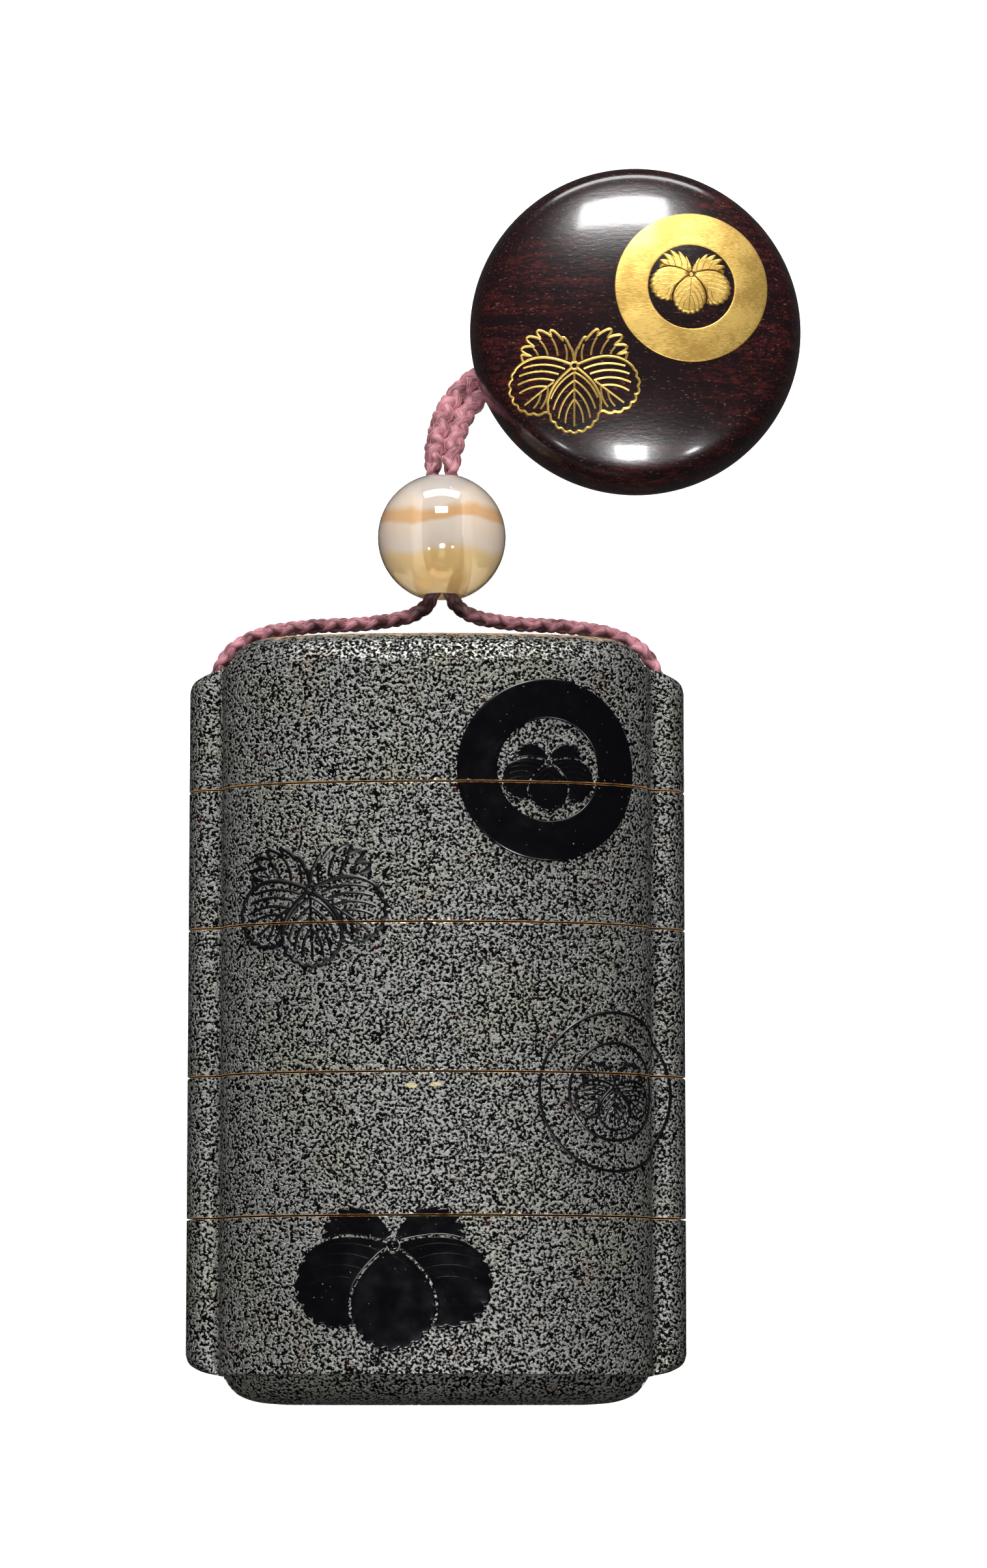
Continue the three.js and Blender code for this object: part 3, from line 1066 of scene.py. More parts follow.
@dataclass
class Section:
    """Cross-section of the case: a rounded body between two side flanges."""

    half_width: float = 24.8 * MM
    half_depth: float = 12 * MM
    half_side: float = 3.1 * MM
    roundness: float = 2.1
    flange_flat: float = 1.8 * MM
    flange_edge: float = 2.2 * MM
    fillet: float = 0.9 * MM
    rest_depth: float = 11.84 * MM
    body_steps: int = 34
    fillet_steps: int = 5
    edge_steps: int = 16

    def quarter(self, inset: float, reach: float) -> Outline:
        """Draw the front right quarter, from the middle of the front to the flange's edge.

        Args:
            inset: How far the section is set in from the full body.
            reach: 1 for full flanges, 0 for none.

        Returns:
            Points across and out from the mid plane.
        """
        keep = 1 - inset / self.half_depth
        side = self.half_side * keep
        crown = self.half_depth * keep - side
        width = self.half_width - inset
        power = 2 / self.roundness
        fillet = self.fillet * reach
        last = math.asin((fillet / crown) ** (1 / power)) if fillet > 0 else 0.0
        points = []
        for step in range(self.body_steps + 1):
            angle = math.pi / 2 + (last - math.pi / 2) * step / self.body_steps
            across = width * max(0.0, math.cos(angle)) ** power
            points.append((across, side + crown * math.sin(angle) ** power))
        start = points[-1]
        turn_x = width + fillet
        for step in range(1, self.fillet_steps + 1):
            angle = (math.pi / 2) * step / self.fillet_steps
            across = turn_x - (turn_x - start[0]) * math.cos(angle)
            points.append((across, start[1] - (start[1] - side) * math.sin(angle)))
        for step in range(self.edge_steps // 2 + 1):
            angle = math.pi * (0.5 - step / self.edge_steps)
            out = self.flange_flat + self.flange_edge * math.cos(angle)
            points.append((width + reach * out, side * math.sin(angle)))
        return points

    def outline(self, inset: float, reach: float) -> Outline:
        """Draw the whole section as a closed loop.

        Args:
            inset: How far the section is set in from the full body.
            reach: 1 for full flanges, 0 for none.

        Returns:
            Points across and out from the mid plane, the back cut to its flat strip.
        """
        front = self.quarter(inset, reach)
        back = [(across, max(-out, -self.rest_depth)) for across, out in reversed(front[:-1])]
        right = [*front, *back]
        left = [(-across, out) for across, out in reversed(right[1:-1])]
        return [*right, *left]

    def place(self, across: float, level: float, out: float) -> Vector:
        """Return a point of the section in the object's frame."""
        return Vector((across, level, out + self.rest_depth))

    def loft(self, rings: Sequence[Ring]) -> bpy.types.Mesh:
        """Skin a row of sections into one closed mesh.

        Args:
            rings: The sections, from one end's middle round the outside to the other end's middle.

        Returns:
            The mesh, with the point attributes wear, bare and inner.
        """
        points: list[Vector] = []
        marks: dict[str, list[float]] = {"wear": [], "bare": [], "inner": []}
        for ring in rings:
            outline = self.outline(ring.inset, ring.reach)
            points += [self.place(across, ring.level, out) for across, out in outline]
            for name, values in marks.items():
                values += [getattr(ring, name)] * len(outline)
        return mesh_from(points, ring_faces(len(rings), len(points) // len(rings)), marks)


@dataclass
class Case:
    """The five stacked pieces: a lid, three plain cases and a bottom case with a foot."""

    section: Section
    cord: Cord
    seam_gap: float = 0.2 * MM
    foot_shoulder: float = -41 * MM
    lid_shoulder: float = 40.6 * MM
    socket_inset: float = 1.1 * MM
    riser_inset: float = 1.3 * MM
    hollow_inset: float = 2.4 * MM
    riser_height: float = 4 * MM
    socket_depth: float = 4.3 * MM
    floor: float = 1.5 * MM
    ceiling: float = 1.85 * MM
    foot_chamfer: float = 2.4 * MM
    foot_floor_level: float = -39.2 * MM
    passage_radius: float = 1.3 * MM
    recess_half: float = 16 * MM
    recess_radius: float = 2 * MM
    recess_depth: float = 3.6 * MM
    edge: float = 0.1 * MM
    rim_steps: tuple[tuple[float, float], ...] = ((0, 1), (0.3, 0.3), (1, 0), (3, 0), (6, 0))
    end_profile: tuple[tuple[float, float], ...] = (
        (0.03, 0.6), (0.27, 1.1), (0.59, 2), (0.77, 3), (0.92, 4.7), (1, 7.5),
    )  # fmt: skip
    flange_end: tuple[tuple[float, float], ...] = ((2.4, 1), (1.6, 0.94), (0.6, 0.62), (0, 0.06))
    flange_stub: float = 0.06
    shoulder_wear: float = 0.3
    crown_bareness: float = 0.5
    foot_bareness: float = 0.2

    def seams(self) -> list[float]:
        """Return the level of each seam, from the foot upwards."""
        above = ("lower_case", "middle_case", "upper_case", "lid")
        return [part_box(node)[0][1] - self.seam_gap / 2 for node in above]

    def plain(self, *places: tuple[float, float]) -> list[Ring]:
        """Draw sections of the plain inner faces, each from its level and how far it is set in."""
        return [Ring(level, inset, inner=1.0) for level, inset in places]

    def worn_rim(self, level: float, away: int, wears: Sequence[float]) -> list[Ring]:
        """Draw a wall's bevelled edge, from its rim on to where the wear ends.

        Args:
            level: Level of the rim.
            away: 1 where the wall lies above the rim, and -1 where it lies below.
            wears: How worn each section is.

        Returns:
            The sections in that order.
        """
        return [
            Ring(level + away * step * self.edge, inset * self.edge, 1.0, wear)
            for (step, inset), wear in zip(self.rim_steps, wears)
        ]

    def rim_below(self, seam: float) -> list[Ring]:
        """Draw a piece's lower rim, from the socket's ceiling out to the wall."""
        level = seam + self.seam_gap / 2
        socket = self.plain(
            (seam + self.socket_depth, self.socket_inset),
            (level + self.edge, self.socket_inset),
            (level, self.socket_inset - self.edge),
        )
        return [*socket, *self.worn_rim(level, 1, (1.0, 0.54, 0.3, 0.12, 0.0))]

    def rim_above(self, seam: float) -> list[Ring]:
        """Draw a piece's upper rim and its riser, from the wall in to the hollow."""
        level = seam - self.seam_gap / 2
        top = seam + self.riser_height
        riser = self.plain(
            (level, self.riser_inset),
            (top - self.edge, self.riser_inset),
            (top, self.riser_inset + self.edge),
            (top, self.hollow_inset - self.edge),
            (top - self.edge, self.hollow_inset),
        )
        return [*reversed(self.worn_rim(level, -1, (1.0, 0.48, 0.26, 0.1, 0.0))), *riser]

    def rounded_end(self, shoulder: float, tip: float) -> list[Ring]:
        """Draw the outside of one end, from the last full section out to the end face.

        Args:
            shoulder: Level of the shoulder.
            tip: Level of the end face.

        Returns:
            The sections in that order.
        """
        outwards = 1 if tip > shoulder else -1
        height = abs(tip - shoulder)
        slope = smooth_curve([(below * MM, reach) for below, reach in self.flange_end], 4)
        rings = [Ring(shoulder - outwards * below, 0.0, reach) for below, reach in slope[:-1]]
        wear = self.shoulder_wear
        rings.append(Ring(shoulder - outwards * 0.08 * MM, 0.0, 0.08, wear, bare=0.25))
        rings.append(Ring(shoulder, 0.06 * MM, self.flange_stub, wear, bare=0.3))
        profile = smooth_curve([(share * height, inset * MM) for share, inset in self.end_profile], 5)
        for rise, inset in profile:
            bare = self.bareness(rise / height, outwards)
            rings.append(Ring(shoulder + outwards * rise, inset, self.flange_stub, bare=bare))
        return rings

    def bareness(self, share: float, outwards: int) -> float:
        """Return how rubbed an end is: the crown is worn round its edge, the foot hardly at all."""
        edge = smooth_step(0.55, 0.9, share) * (1 - smooth_step(0.93, 1, share))
        return (self.crown_bareness if outwards > 0 else self.foot_bareness) * edge

    def lid(self, seam: float) -> list[Ring]:
        """Draw the lid, from its ceiling inside to its crown outside."""
        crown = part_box("lid")[1][1]
        ceiling = crown - self.ceiling
        inside = self.plain(
            (ceiling, self.hollow_inset + 6 * MM),
            (ceiling - 0.3 * MM, self.hollow_inset + 3.2 * MM),
            (self.lid_shoulder + 0.8 * MM, self.hollow_inset + 1 * MM),
            (self.lid_shoulder - 0.6 * MM, self.hollow_inset),
            (seam + self.socket_depth, self.hollow_inset),
        )
        return [*inside, *self.rim_below(seam), *self.rounded_end(self.lid_shoulder, crown)]

    def plain_case(self, low: float, high: float) -> list[Ring]:
        """Draw one of the plain cases, from its socket round the outside to its floor."""
        floor = self.plain((low + self.socket_depth + self.floor, self.hollow_inset))
        return [*self.rim_below(low), *self.rim_above(high), *floor]

    def bottom_case(self, seam: float) -> list[Ring]:
        """Draw the bottom case, from its foot round the outside to its floor."""
        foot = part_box("bottom_case")[0][1]
        outside = reversed(self.rounded_end(self.foot_shoulder, foot))
        inside = self.plain(
            (self.foot_floor_level + self.foot_chamfer, self.hollow_inset),
            (self.foot_floor_level, self.hollow_inset + self.foot_chamfer),
        )
        return [*outside, *self.rim_above(seam), *inside]

    def passages(self) -> list[bpy.types.Object]:
        """Make the two shapes that cut the cord's passages."""
        bars = []
        for run in (self.cord.left_run, self.cord.right_run):
            listed = [*run[self.cord.stops_before_case :], self.cord.foot_middle]
            route = smooth_route([Vector(stop) * MM for stop in listed], 0.8 * MM)
            bars.append(round_bar(route, self.passage_radius))
        return bars

    def foot_recess(self) -> bpy.types.Object:
        """Make the shape that cuts the cord's slot under the foot."""
        steps = 16
        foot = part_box("bottom_case")[0][1]
        turns = [math.pi * (step / steps - 0.5) for step in range(steps + 1)]
        right = [
            (self.recess_half + self.recess_radius * math.cos(turn), self.recess_radius * math.sin(turn))
            for turn in turns
        ]
        loop = [*right, *[(-across, -out) for across, out in right]]
        levels = (foot - MM, foot + self.recess_depth)
        points = [self.section.place(across, level, out) for level in levels for across, out in loop]
        return placed("cutter", mesh_from(points, ring_faces(len(levels), len(loop))))

    def build(self) -> dict[str, bpy.types.Object]:
        """Build all five pieces.

        Returns:
            Each finished piece by its solid's name.
        """
        seams = self.seams()
        drawn = {
            "lid": self.lid(seams[3]),
            "upper_case": self.plain_case(seams[2], seams[3]),
            "middle_case": self.plain_case(seams[1], seams[2]),
            "lower_case": self.plain_case(seams[0], seams[1]),
            "bottom_case": self.bottom_case(seams[0]),
        }
        finish = TexturedLacquer().build()
        pieces = {}
        for node, rings in drawn.items():
            piece = new_object(f"lacquer_{node}", self.section.loft(rings), finish)
            cutters = self.passages()
            if node == "bottom_case":
                cutters.append(self.foot_recess())
            cut_away(piece, cutters)
            finish_shading(piece.data, sharp_degrees=38)
            dress(piece, "textured_lacquer", node)
            pieces[node] = piece
        return pieces


def round_bar(route: Sequence[Vector], radius: float, sides: int = 20) -> bpy.types.Object:
    """Make a closed round bar along a route, for cutting with."""
    points = tube_points(route, [radius] * len(route), sides)
    return placed("cutter", mesh_from(points, ring_faces(len(route), sides)))


# ---------------------------------------------------------------------------------------------------
# The netsuke
# ---------------------------------------------------------------------------------------------------


@dataclass
class Netsuke:
    """Turned rosewood toggle with a flat back, a rounded rim and a domed face."""

    cord: Cord
    around: int = 192
    steps: int = 7
    passage_radius: float = 1.35 * MM
    overrun: float = 0.35
    profile: tuple[tuple[float, float], ...] = (
        (0, 0), (8, 0), (12, 0.8), (15.4, 2), (17.8, 3.7), (19.2, 5.6), (19.6, 7.4),
        (19.3, 9.4), (18.7, 11), (17.9, 12.1), (15.6, 13.1), (11.5, 14.1), (6.5, 14.8), (0, 15.1),
    )  # fmt: skip

    def centre(self) -> Vector:
        """Return the middle of the disc at the height of the table, from its solid's box."""
        low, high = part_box("netsuke")
        return Vector(((low[0] + high[0]) / 2, (low[1] + high[1]) / 2, 0))

    def turned(self) -> Outline:
        """Return the turned profile as radius and height, from the back's middle to the face's."""
        corners = [(radius * MM, height * MM) for radius, height in self.profile]
        rounded = smooth_curve(corners[1:], self.steps)
        return [corners[0], *rounded]

    def build(self) -> bpy.types.Object:
        """Turn the toggle and bore its two holes.

        Returns:
            The finished piece.
        """
        centre = self.centre()
        points = []
        turned = self.turned()
        for radius, height in turned:
            for turn in range(self.around):
                angle = math.tau * turn / self.around
                points.append(centre + Vector((radius * math.cos(angle), radius * math.sin(angle), height)))
        faces = ring_faces(len(turned), self.around, Ends.OPEN)
        piece = new_object("netsuke_toggle", mesh_from(points, faces), Rosewood().build())
        cut_away(piece, self.passages())
        finish_shading(piece.data, sharp_degrees=50)
        dress(piece, "rosewood", "netsuke")
        return piece

    def passages(self) -> list[bpy.types.Object]:
        """Make the two shapes that cut the holes, each running on a little past the cord's end."""
        bars = []
        for run in (self.cord.left_run, self.cord.right_run):
            stops = [Vector(stop) * MM for stop in run[: self.cord.stops_in_netsuke]]
            beyond = stops[0] + (stops[0] - stops[1]) * self.overrun
            bars.append(round_bar(smooth_route([beyond, *stops], 0.5 * MM), self.passage_radius))
        return bars


# ---------------------------------------------------------------------------------------------------
# Ivy crests
# ---------------------------------------------------------------------------------------------------


# Shares of a lobe's reach that its veins take up, and how far a side vein bows, as a share of itself.
MAIN_VEIN = 0.9
SIDE_VEIN = 0.88
VEIN_BOW = 0.2


def polar(length: float, degrees: float) -> Vector:
    """Return a flat point at a distance and a direction from the knob."""
    turn = math.radians(degrees)
    return Vector((length * math.cos(turn), length * math.sin(turn)))


def circle(radius: float, steps: int) -> list[Vector]:
    """Draw a closed circle about the knob, its first point repeated at its end."""
    return [polar(radius, 360 * step / steps) for step in range(steps + 1)]


@dataclass(frozen=True)
class Lobe:
    """One lobe of an ivy leaf, about the leaf's knob.

    Directions are in degrees, from +X. Lengths are shares of the bottom lobe's length. A mirrored lobe
    is drawn on the left side of the leaf.
    """

    axis: float
    half_angle: float
    length: float
    vein_axis: float
    veins: tuple[tuple[float, float], ...]
    mirrored: bool = False

    def drawn(self, angle: float) -> float:
        """Return how far the lobe reaches in a direction, before it is mirrored."""
        raise NotImplementedError

    def seen(self, angle: float) -> float:
        """Turn a direction between the drawn lobe and its mirrored place."""
        return 180 - angle if self.mirrored else angle

    def reach(self, angle: float) -> float:
        """Return how far the lobe reaches in a direction."""
        return self.drawn((self.seen(angle) + 180) % 360 - 180)

    def directions(self, steps: int) -> list[float]:
        """Return directions across the lobe, closer together towards its two edges."""
        shares = [math.sin(math.pi / 2 * (2 * step / steps - 1)) for step in range(steps + 1)]
        return sorted(self.seen(self.axis + self.half_angle * share) for share in shares)

    def vein_lines(self, steps: int = 14) -> list[list[Vector]]:
        """Draw the main vein and its side veins, each bowed away from the main one."""
        main = self.reach(self.seen(self.vein_axis)) * MAIN_VEIN
        lines = [[polar(main * (0.1 + 0.9 * step / steps), self.vein_axis) for step in range(steps + 1)]]
        for start, end in self.veins:
            foot = polar(start, self.vein_axis)
            tip = polar(SIDE_VEIN * self.drawn(end), end)
            onward = tip - foot
            away = Vector((-onward.y, onward.x)) * (VEIN_BOW if end > self.vein_axis else -VEIN_BOW)
            bow = (foot + tip) / 2 + away
            lines.append([
                foot.lerp(bow, step / steps).lerp(bow.lerp(tip, step / steps), step / steps)
                for step in range(steps + 1)
            ])
        if self.mirrored:
            lines = [[Vector((-point.x, point.y)) for point in line] for line in lines]
        return lines


@dataclass(frozen=True)
class ScallopedLobe(Lobe):
    """A broad rounded lobe whose free edge is scalloped."""

    free_from: float = -0.66
    free_to: float = 0.66
    scallops: int = 9
    notch: float = 0.05

    def drawn(self, angle: float) -> float:
        """Return how far the lobe reaches in a direction, before it is mirrored."""
        share = (angle - self.axis) / self.half_angle
        if abs(share) >= 1:
            return 0.0
        broad = self.length * math.sqrt(math.cos(math.pi / 2 * share))
        if not self.free_from < share < self.free_to:
            return broad
        place = (share - self.free_from) / (self.free_to - self.free_from)
        crest = abs(math.sin(math.pi * self.scallops * place)) ** 0.6
        return broad * (1 - self.notch * (1 - crest))


@dataclass(frozen=True)
class ToothedLobe(Lobe):
    """A smaller upper lobe with a row of flame-like teeth."""

    first_tooth: float = 11.0
    tooth_pitch: float = 14.5
    teeth: int = 5
    notch: float = 0.17

    def drawn(self, angle: float) -> float:
        """Return how far the lobe reaches in a direction, before it is mirrored."""
        lean = self.axis + self.half_angle - angle
        if lean <= 0 or angle < self.axis - self.half_angle:
            return 0.0
        broad = self.length * math.sin(math.radians(min(128.0, 1.4 * lean))) ** 0.8
        count = (lean - self.first_tooth) / self.tooth_pitch
        if not 0 < count < self.teeth:
            return broad
        along = count % 1
        rise = max(0.0, math.sin(math.pi * along**1.4)) ** 0.6
        return broad * (1 - self.notch * (1 - rise))


@dataclass(frozen=True)
class LeafCut:
    """How a leaf's lobes are cut: how far they droop, and the teeth of the two upper ones."""

    droop: float = 0.0
    teeth: int = 5
    tooth_pitch: float = 13
    notch: float = 0.24

    def layers(self) -> list[list[Lobe]]:
        """Return the lobes layer by layer from the front: the bottom one, the sides, the uppers."""
        down_veins = tuple(
            (start, -90 + side * turn)
            for start, turn in ((0.1, 36), (0.22, 26), (0.35, 17), (0.5, 9))
            for side in (1, -1)
        )
        side_veins = (
            (0.12, -1), (0.24, -9), (0.37, -17), (0.51, -25), (0.36, -57), (0.5, -51), (0.63, -45),
        )  # fmt: skip
        up_veins = tuple(
            (start, turn - self.droop) for start, turn in ((0.14, 66), (0.26, 51), (0.39, 37), (0.53, 24))
        )
        side_axis = -28 - 0.9 * min(self.droop, 8)
        bottom = ScallopedLobe(-90, 52, 1.0, -90, down_veins)
        sides = [
            ScallopedLobe(side_axis, 51, 1.06, -37, side_veins, mirrored, -0.72, 0.5, 8)
            for mirrored in (False, True)
        ]
        uppers = [
            ToothedLobe(
                axis=45 - self.droop,
                half_angle=45,
                length=0.85 - 0.012 * self.droop,
                vein_axis=8,
                veins=up_veins,
                mirrored=mirrored,
                tooth_pitch=self.tooth_pitch,
                teeth=self.teeth,
                notch=self.notch,
            )
            for mirrored in (False, True)
        ]
        return [[bottom], sides, uppers]


@dataclass(frozen=True)
class Hem:
    """The reach of a lobe widened by a gap, which trims the lobes behind it."""

    directions: tuple[float, ...]
    lengths: tuple[float, ...]

    @classmethod
    def round_lobe(cls, lobe: Lobe, gap: float) -> "Hem":
        """Widen a lobe.

        Args:
            lobe: The lobe.
            gap: Width to add all round, as a share of the leaf.

        Returns:
            The widened reach.
        """
        edge = [polar(lobe.reach(angle), angle) for angle in lobe.directions(400)]
        widened = []
        for before, here, after in zip(edge, edge[1:], edge[2:]):
            onward = after - before
            if onward.length > 1e-6:
                widened.append(here + Vector((onward.y, -onward.x)).normalized() * gap)
        middle = lobe.seen(lobe.axis)
        turned = [(math.degrees(math.atan2(p.y, p.x)) - middle + 180) % 360 - 180 for p in widened]
        pairs = sorted(zip(turned, (point.length for point in widened)))
        return cls(tuple(middle + turn for turn, _ in pairs), tuple(length for _, length in pairs))

    def reach(self, angle: float) -> float:
        """Return how far the widened lobe reaches in a direction."""
        middle = (self.directions[0] + self.directions[-1]) / 2
        turned = middle + (angle - middle + 180) % 360 - 180
        return float(np.interp(turned, self.directions, self.lengths, left=0, right=0))


@dataclass(frozen=True)
class Strip:
    """A raised band between two distances from a centre, closed underneath."""

    directions: list[float]
    inner: list[float]
    outer: list[float]
    closed: bool = False

    @classmethod
    def full_ring(cls, inner: float, outer: float, steps: int = 220) -> "Strip":
        """Draw a full ring between two distances."""
        around = [360 * step / steps for step in range(steps)]
        return cls(around, [inner] * steps, [outer] * steps, closed=True)


@dataclass
class Relief:
    """Raises bands and lines on a surface.

    The placer turns a flat place, in metres from the crest's centre, and a height into a point.
    """

    place: Placer
    height: float
    bevel: float
    rows: int = 14
    root: float = 0.12 * MM

    def band(self, strip: Strip, centre: Vector) -> tuple[list[Vector], list[tuple[int, ...]]]:
        """Raise one band.

        Args:
            strip: The band's edges.
            centre: The place that its distances are measured from.

        Returns:
            Points and faces of a closed shell.
        """
        columns = []
        for angle, inner, outer in zip(strip.directions, strip.inner, strip.outer):
            width = max(outer - inner, 0.0)
            bevel = min(self.bevel, width / 2)
            top = self.height * min(1.0, width / (2 * self.bevel))
            rise = [(0.0, -self.root), (0.0, 0.0), (0.1, 0.45 * top), (0.4, 0.85 * top), (1.0, top)]
            left = [(inner + share * bevel, height) for share, height in rise]
            right = [(outer - share * bevel, height) for share, height in reversed(rise)]
            start, end = inner + bevel, outer - bevel
            middle = [(start + (end - start) * row / self.rows, top) for row in range(1, self.rows)]
            column = []
            for distance, height in [*left, *middle, *right]:
                spot = centre + polar(distance, angle)
                column.append(self.place(spot.x, spot.y, height))
            columns.append(column)
        points = [point for column in columns for point in column]
        ends = Ends.JOINED if strip.closed else Ends.CAPPED
        return points, ring_faces(len(columns), len(columns[0]), ends)

    def line(self, flat: Sequence[Vector], sink: float, step: float) -> list[Vector]:
        """Lay a flat line on the surface.

        Args:
            flat: Its points, in metres from the crest's own place.
            sink: How far below the relief's top its middle lies.
            step: Distance between points on the surface.

        Returns:
            Points on the surface.
        """
        level = evenly_spaced([Vector((point.x, point.y, 0)) for point in flat], step)
        return [self.place(point.x, point.y, self.height - sink) for point in level]


def join_shells(shells: Sequence[tuple[list[Vector], list[tuple[int, ...]]]]) -> bpy.types.Mesh:
    """Make one mesh of several closed shells.

    Args:
        shells: Points and faces of each.

    Returns:
        The mesh.
    """
    points: list[Vector] = []
    faces: list[tuple[int, ...]] = []
    for shell_points, shell_faces in shells:
        first = len(points)
        points += shell_points
        faces += [tuple(first + corner for corner in face) for face in shell_faces]
    return mesh_from(points, faces)


def line_tree() -> bpy.types.GeometryNodeTree:
    """Return the tree that turns edges into round raised lines."""
    tree = bpy.data.node_groups.get("raised_lines")
    if tree:
        return tree
    tree = bpy.data.node_groups.new("raised_lines", "GeometryNodeTree")
    for name, kind in (("Lines", "Geometry"), ("Radius", "Float"), ("Sides", "Int"), ("Finish", "Material")):
        tree.interface.new_socket(name, in_out="INPUT", socket_type=f"NodeSocket{kind}")
    tree.interface.new_socket("Raised", in_out="OUTPUT", socket_type="NodeSocketGeometry")
    given = tree.nodes.new("NodeGroupInput").outputs
    paths = add_node(tree, "GeometryNodeMeshToCurve", {"Mesh": given["Lines"]})
    ring = add_node(
        tree,
        "GeometryNodeCurvePrimitiveCircle",
        {"Resolution": given["Sides"], "Radius": given["Radius"]},
    )
    tubes = add_node(
        tree, "GeometryNodeCurveToMesh", {"Curve": paths, "Profile Curve": ring, "Fill Caps": True}
    )
    real = add_node(tree, "GeometryNodeRealizeInstances", {"Geometry": tubes})
    dressed = add_node(tree, "GeometryNodeSetMaterial", {"Geometry": real, "Material": given["Finish"]})
    add_node(tree, "NodeGroupOutput", {"Raised": dressed})
    return tree


def raised_lines(
    lines: Sequence[Sequence[Vector]], radius: float, finish: bpy.types.Material, sides: int = 8
) -> bpy.types.Mesh:
    """Turn lines into round bars.

    Args:
        lines: Each line's points.
        radius: The bars' radius.
        finish: Their material.
        sides: Flats round each bar.

    Returns:
        One mesh of all the bars.
    """
    points = [point for line in lines for point in line]
    edges = []
    first = 0
    for line in lines:
        edges += [(first + step, first + step + 1) for step in range(len(line) - 1)]
        first += len(line)
    mesh = bpy.data.meshes.new("lines")
    mesh.from_pydata([tuple(point) for point in points], edges, [])
    holder = placed("lines", mesh)
    tree = line_tree()
    maker = holder.modifiers.new("raise", "NODES")
    maker.node_group = tree
    settings = {"Radius": radius, "Sides": sides, "Finish": finish}
    for socket in tree.interface.items_tree:
        if socket.name in settings:
            maker[socket.identifier] = settings[socket.name]
    result = evaluated_mesh(holder)
    bpy.data.meshes.remove(mesh)
    drawn = result.attributes.new("drawn", "FLOAT", "POINT")
    drawn.data.foreach_set("value", [1.0] * len(result.vertices))
    return result


class CrestStyle(Enum):
    """How an ivy leaf is raised."""

    SOLID = "solid"
    OUTLINE = "outline"
    VEINED = "veined"


@dataclass(frozen=True)
class Crest:
    """One ivy leaf, alone or in a ring. Its place is that of the ring's centre, or of its own knob."""

    origin: tuple[float, float]
    length: float
    style: CrestStyle
    turn: float = 0.0
    cut: LeafCut = LeafCut()
    lift: float = 0.0
    gap: float = 0.24 * MM
    height: float = 0.14 * MM
    bevel: float = 0.3 * MM
    line: float = 0.2 * MM
    vein: float = 0.15 * MM
    ring: tuple[float, float] | None = None
    knob_share: float = 0.055
    knob_steps: int = 32
    least_width: float = 0.006
    steps: int = 150

    def knob(self) -> Vector:
        """Return the knob's flat place, from the crest's own."""
        return Vector((0.0, self.lift))

    def flat(self, point: Vector) -> Vector:
        """Turn a point of the leaf into a flat place from the crest's own, in metres."""
        tilt = math.radians(self.turn)
        turned = Vector((
            point.x * math.cos(tilt) - point.y * math.sin(tilt),
            point.x * math.sin(tilt) + point.y * math.cos(tilt),
        ))
        return self.knob() + turned * self.length

    def lobes(self, gap: float) -> Iterator[tuple[Lobe, list[Hem]]]:
        """Give each lobe, with the reach of those in front of it widened by a gap."""
        hems: list[Hem] = []
        for layer in self.cut.layers():
            for lobe in layer:
                yield lobe, hems
            hems = [*hems, *(Hem.round_lobe(lobe, gap) for lobe in layer)]

    def strips(self) -> list[Strip]:
        """Draw the solid leaf's lobes, each trimmed by those in front of it, and its knob."""
        gap = self.gap / self.length
        bare = self.knob_share + 0.6 * gap
        strips = []
        for lobe, hems in self.lobes(gap):
            kept = []
            for angle in lobe.directions(self.steps):
                inner = max([bare, *(hem.reach(angle) for hem in hems)])
                outer = lobe.reach(angle)
                if outer > inner + self.least_width:
                    kept.append((angle + self.turn, inner * self.length, outer * self.length))
            if len(kept) > 3:
                directions, inners, outers = (list(values) for values in zip(*kept))
                strips.append(Strip(directions, inners, outers))
        knob = self.knob_share * self.length
        strips.append(Strip.full_ring(0.02 * knob, knob, self.knob_steps))
        return strips

    def outlines(self) -> list[list[Vector]]:
        """Draw the leaf's outlines where no lobe in front hides them, and a ring for its knob."""
        lines = []
        for lobe, hems in self.lobes(0.0):
            edge = [polar(lobe.reach(angle), angle) for angle in lobe.directions(self.steps)]
            lines += self.uncovered(edge, hems)
        return [*lines, circle(self.knob_share, 24)]

    def veins(self) -> list[list[Vector]]:
        """Draw every lobe's veins where no lobe in front hides them."""
        lines = []
        for lobe, hems in self.lobes(0.03):
            for vein in lobe.vein_lines():
                lines += self.uncovered(vein, hems)
        return lines

    def uncovered(self, line: Sequence[Vector], hems: Sequence[Hem]) -> list[list[Vector]]:
        """Keep the stretches of a line that lie clear of the knob and of the lobes in front.

        Args:
            line: Points of the leaf.
            hems: The reach of each lobe in front.

        Returns:
            The stretches that are left.
        """
        runs: list[list[Vector]] = [[]]
        for point in line:
            angle = math.degrees(math.atan2(point.y, point.x))
            hidden = any(point.length < hem.reach(angle) for hem in hems)
            if hidden or point.length < self.knob_share:
                runs.append([])
            else:
                runs[-1].append(point)
        return [run for run in runs if len(run) > 2]


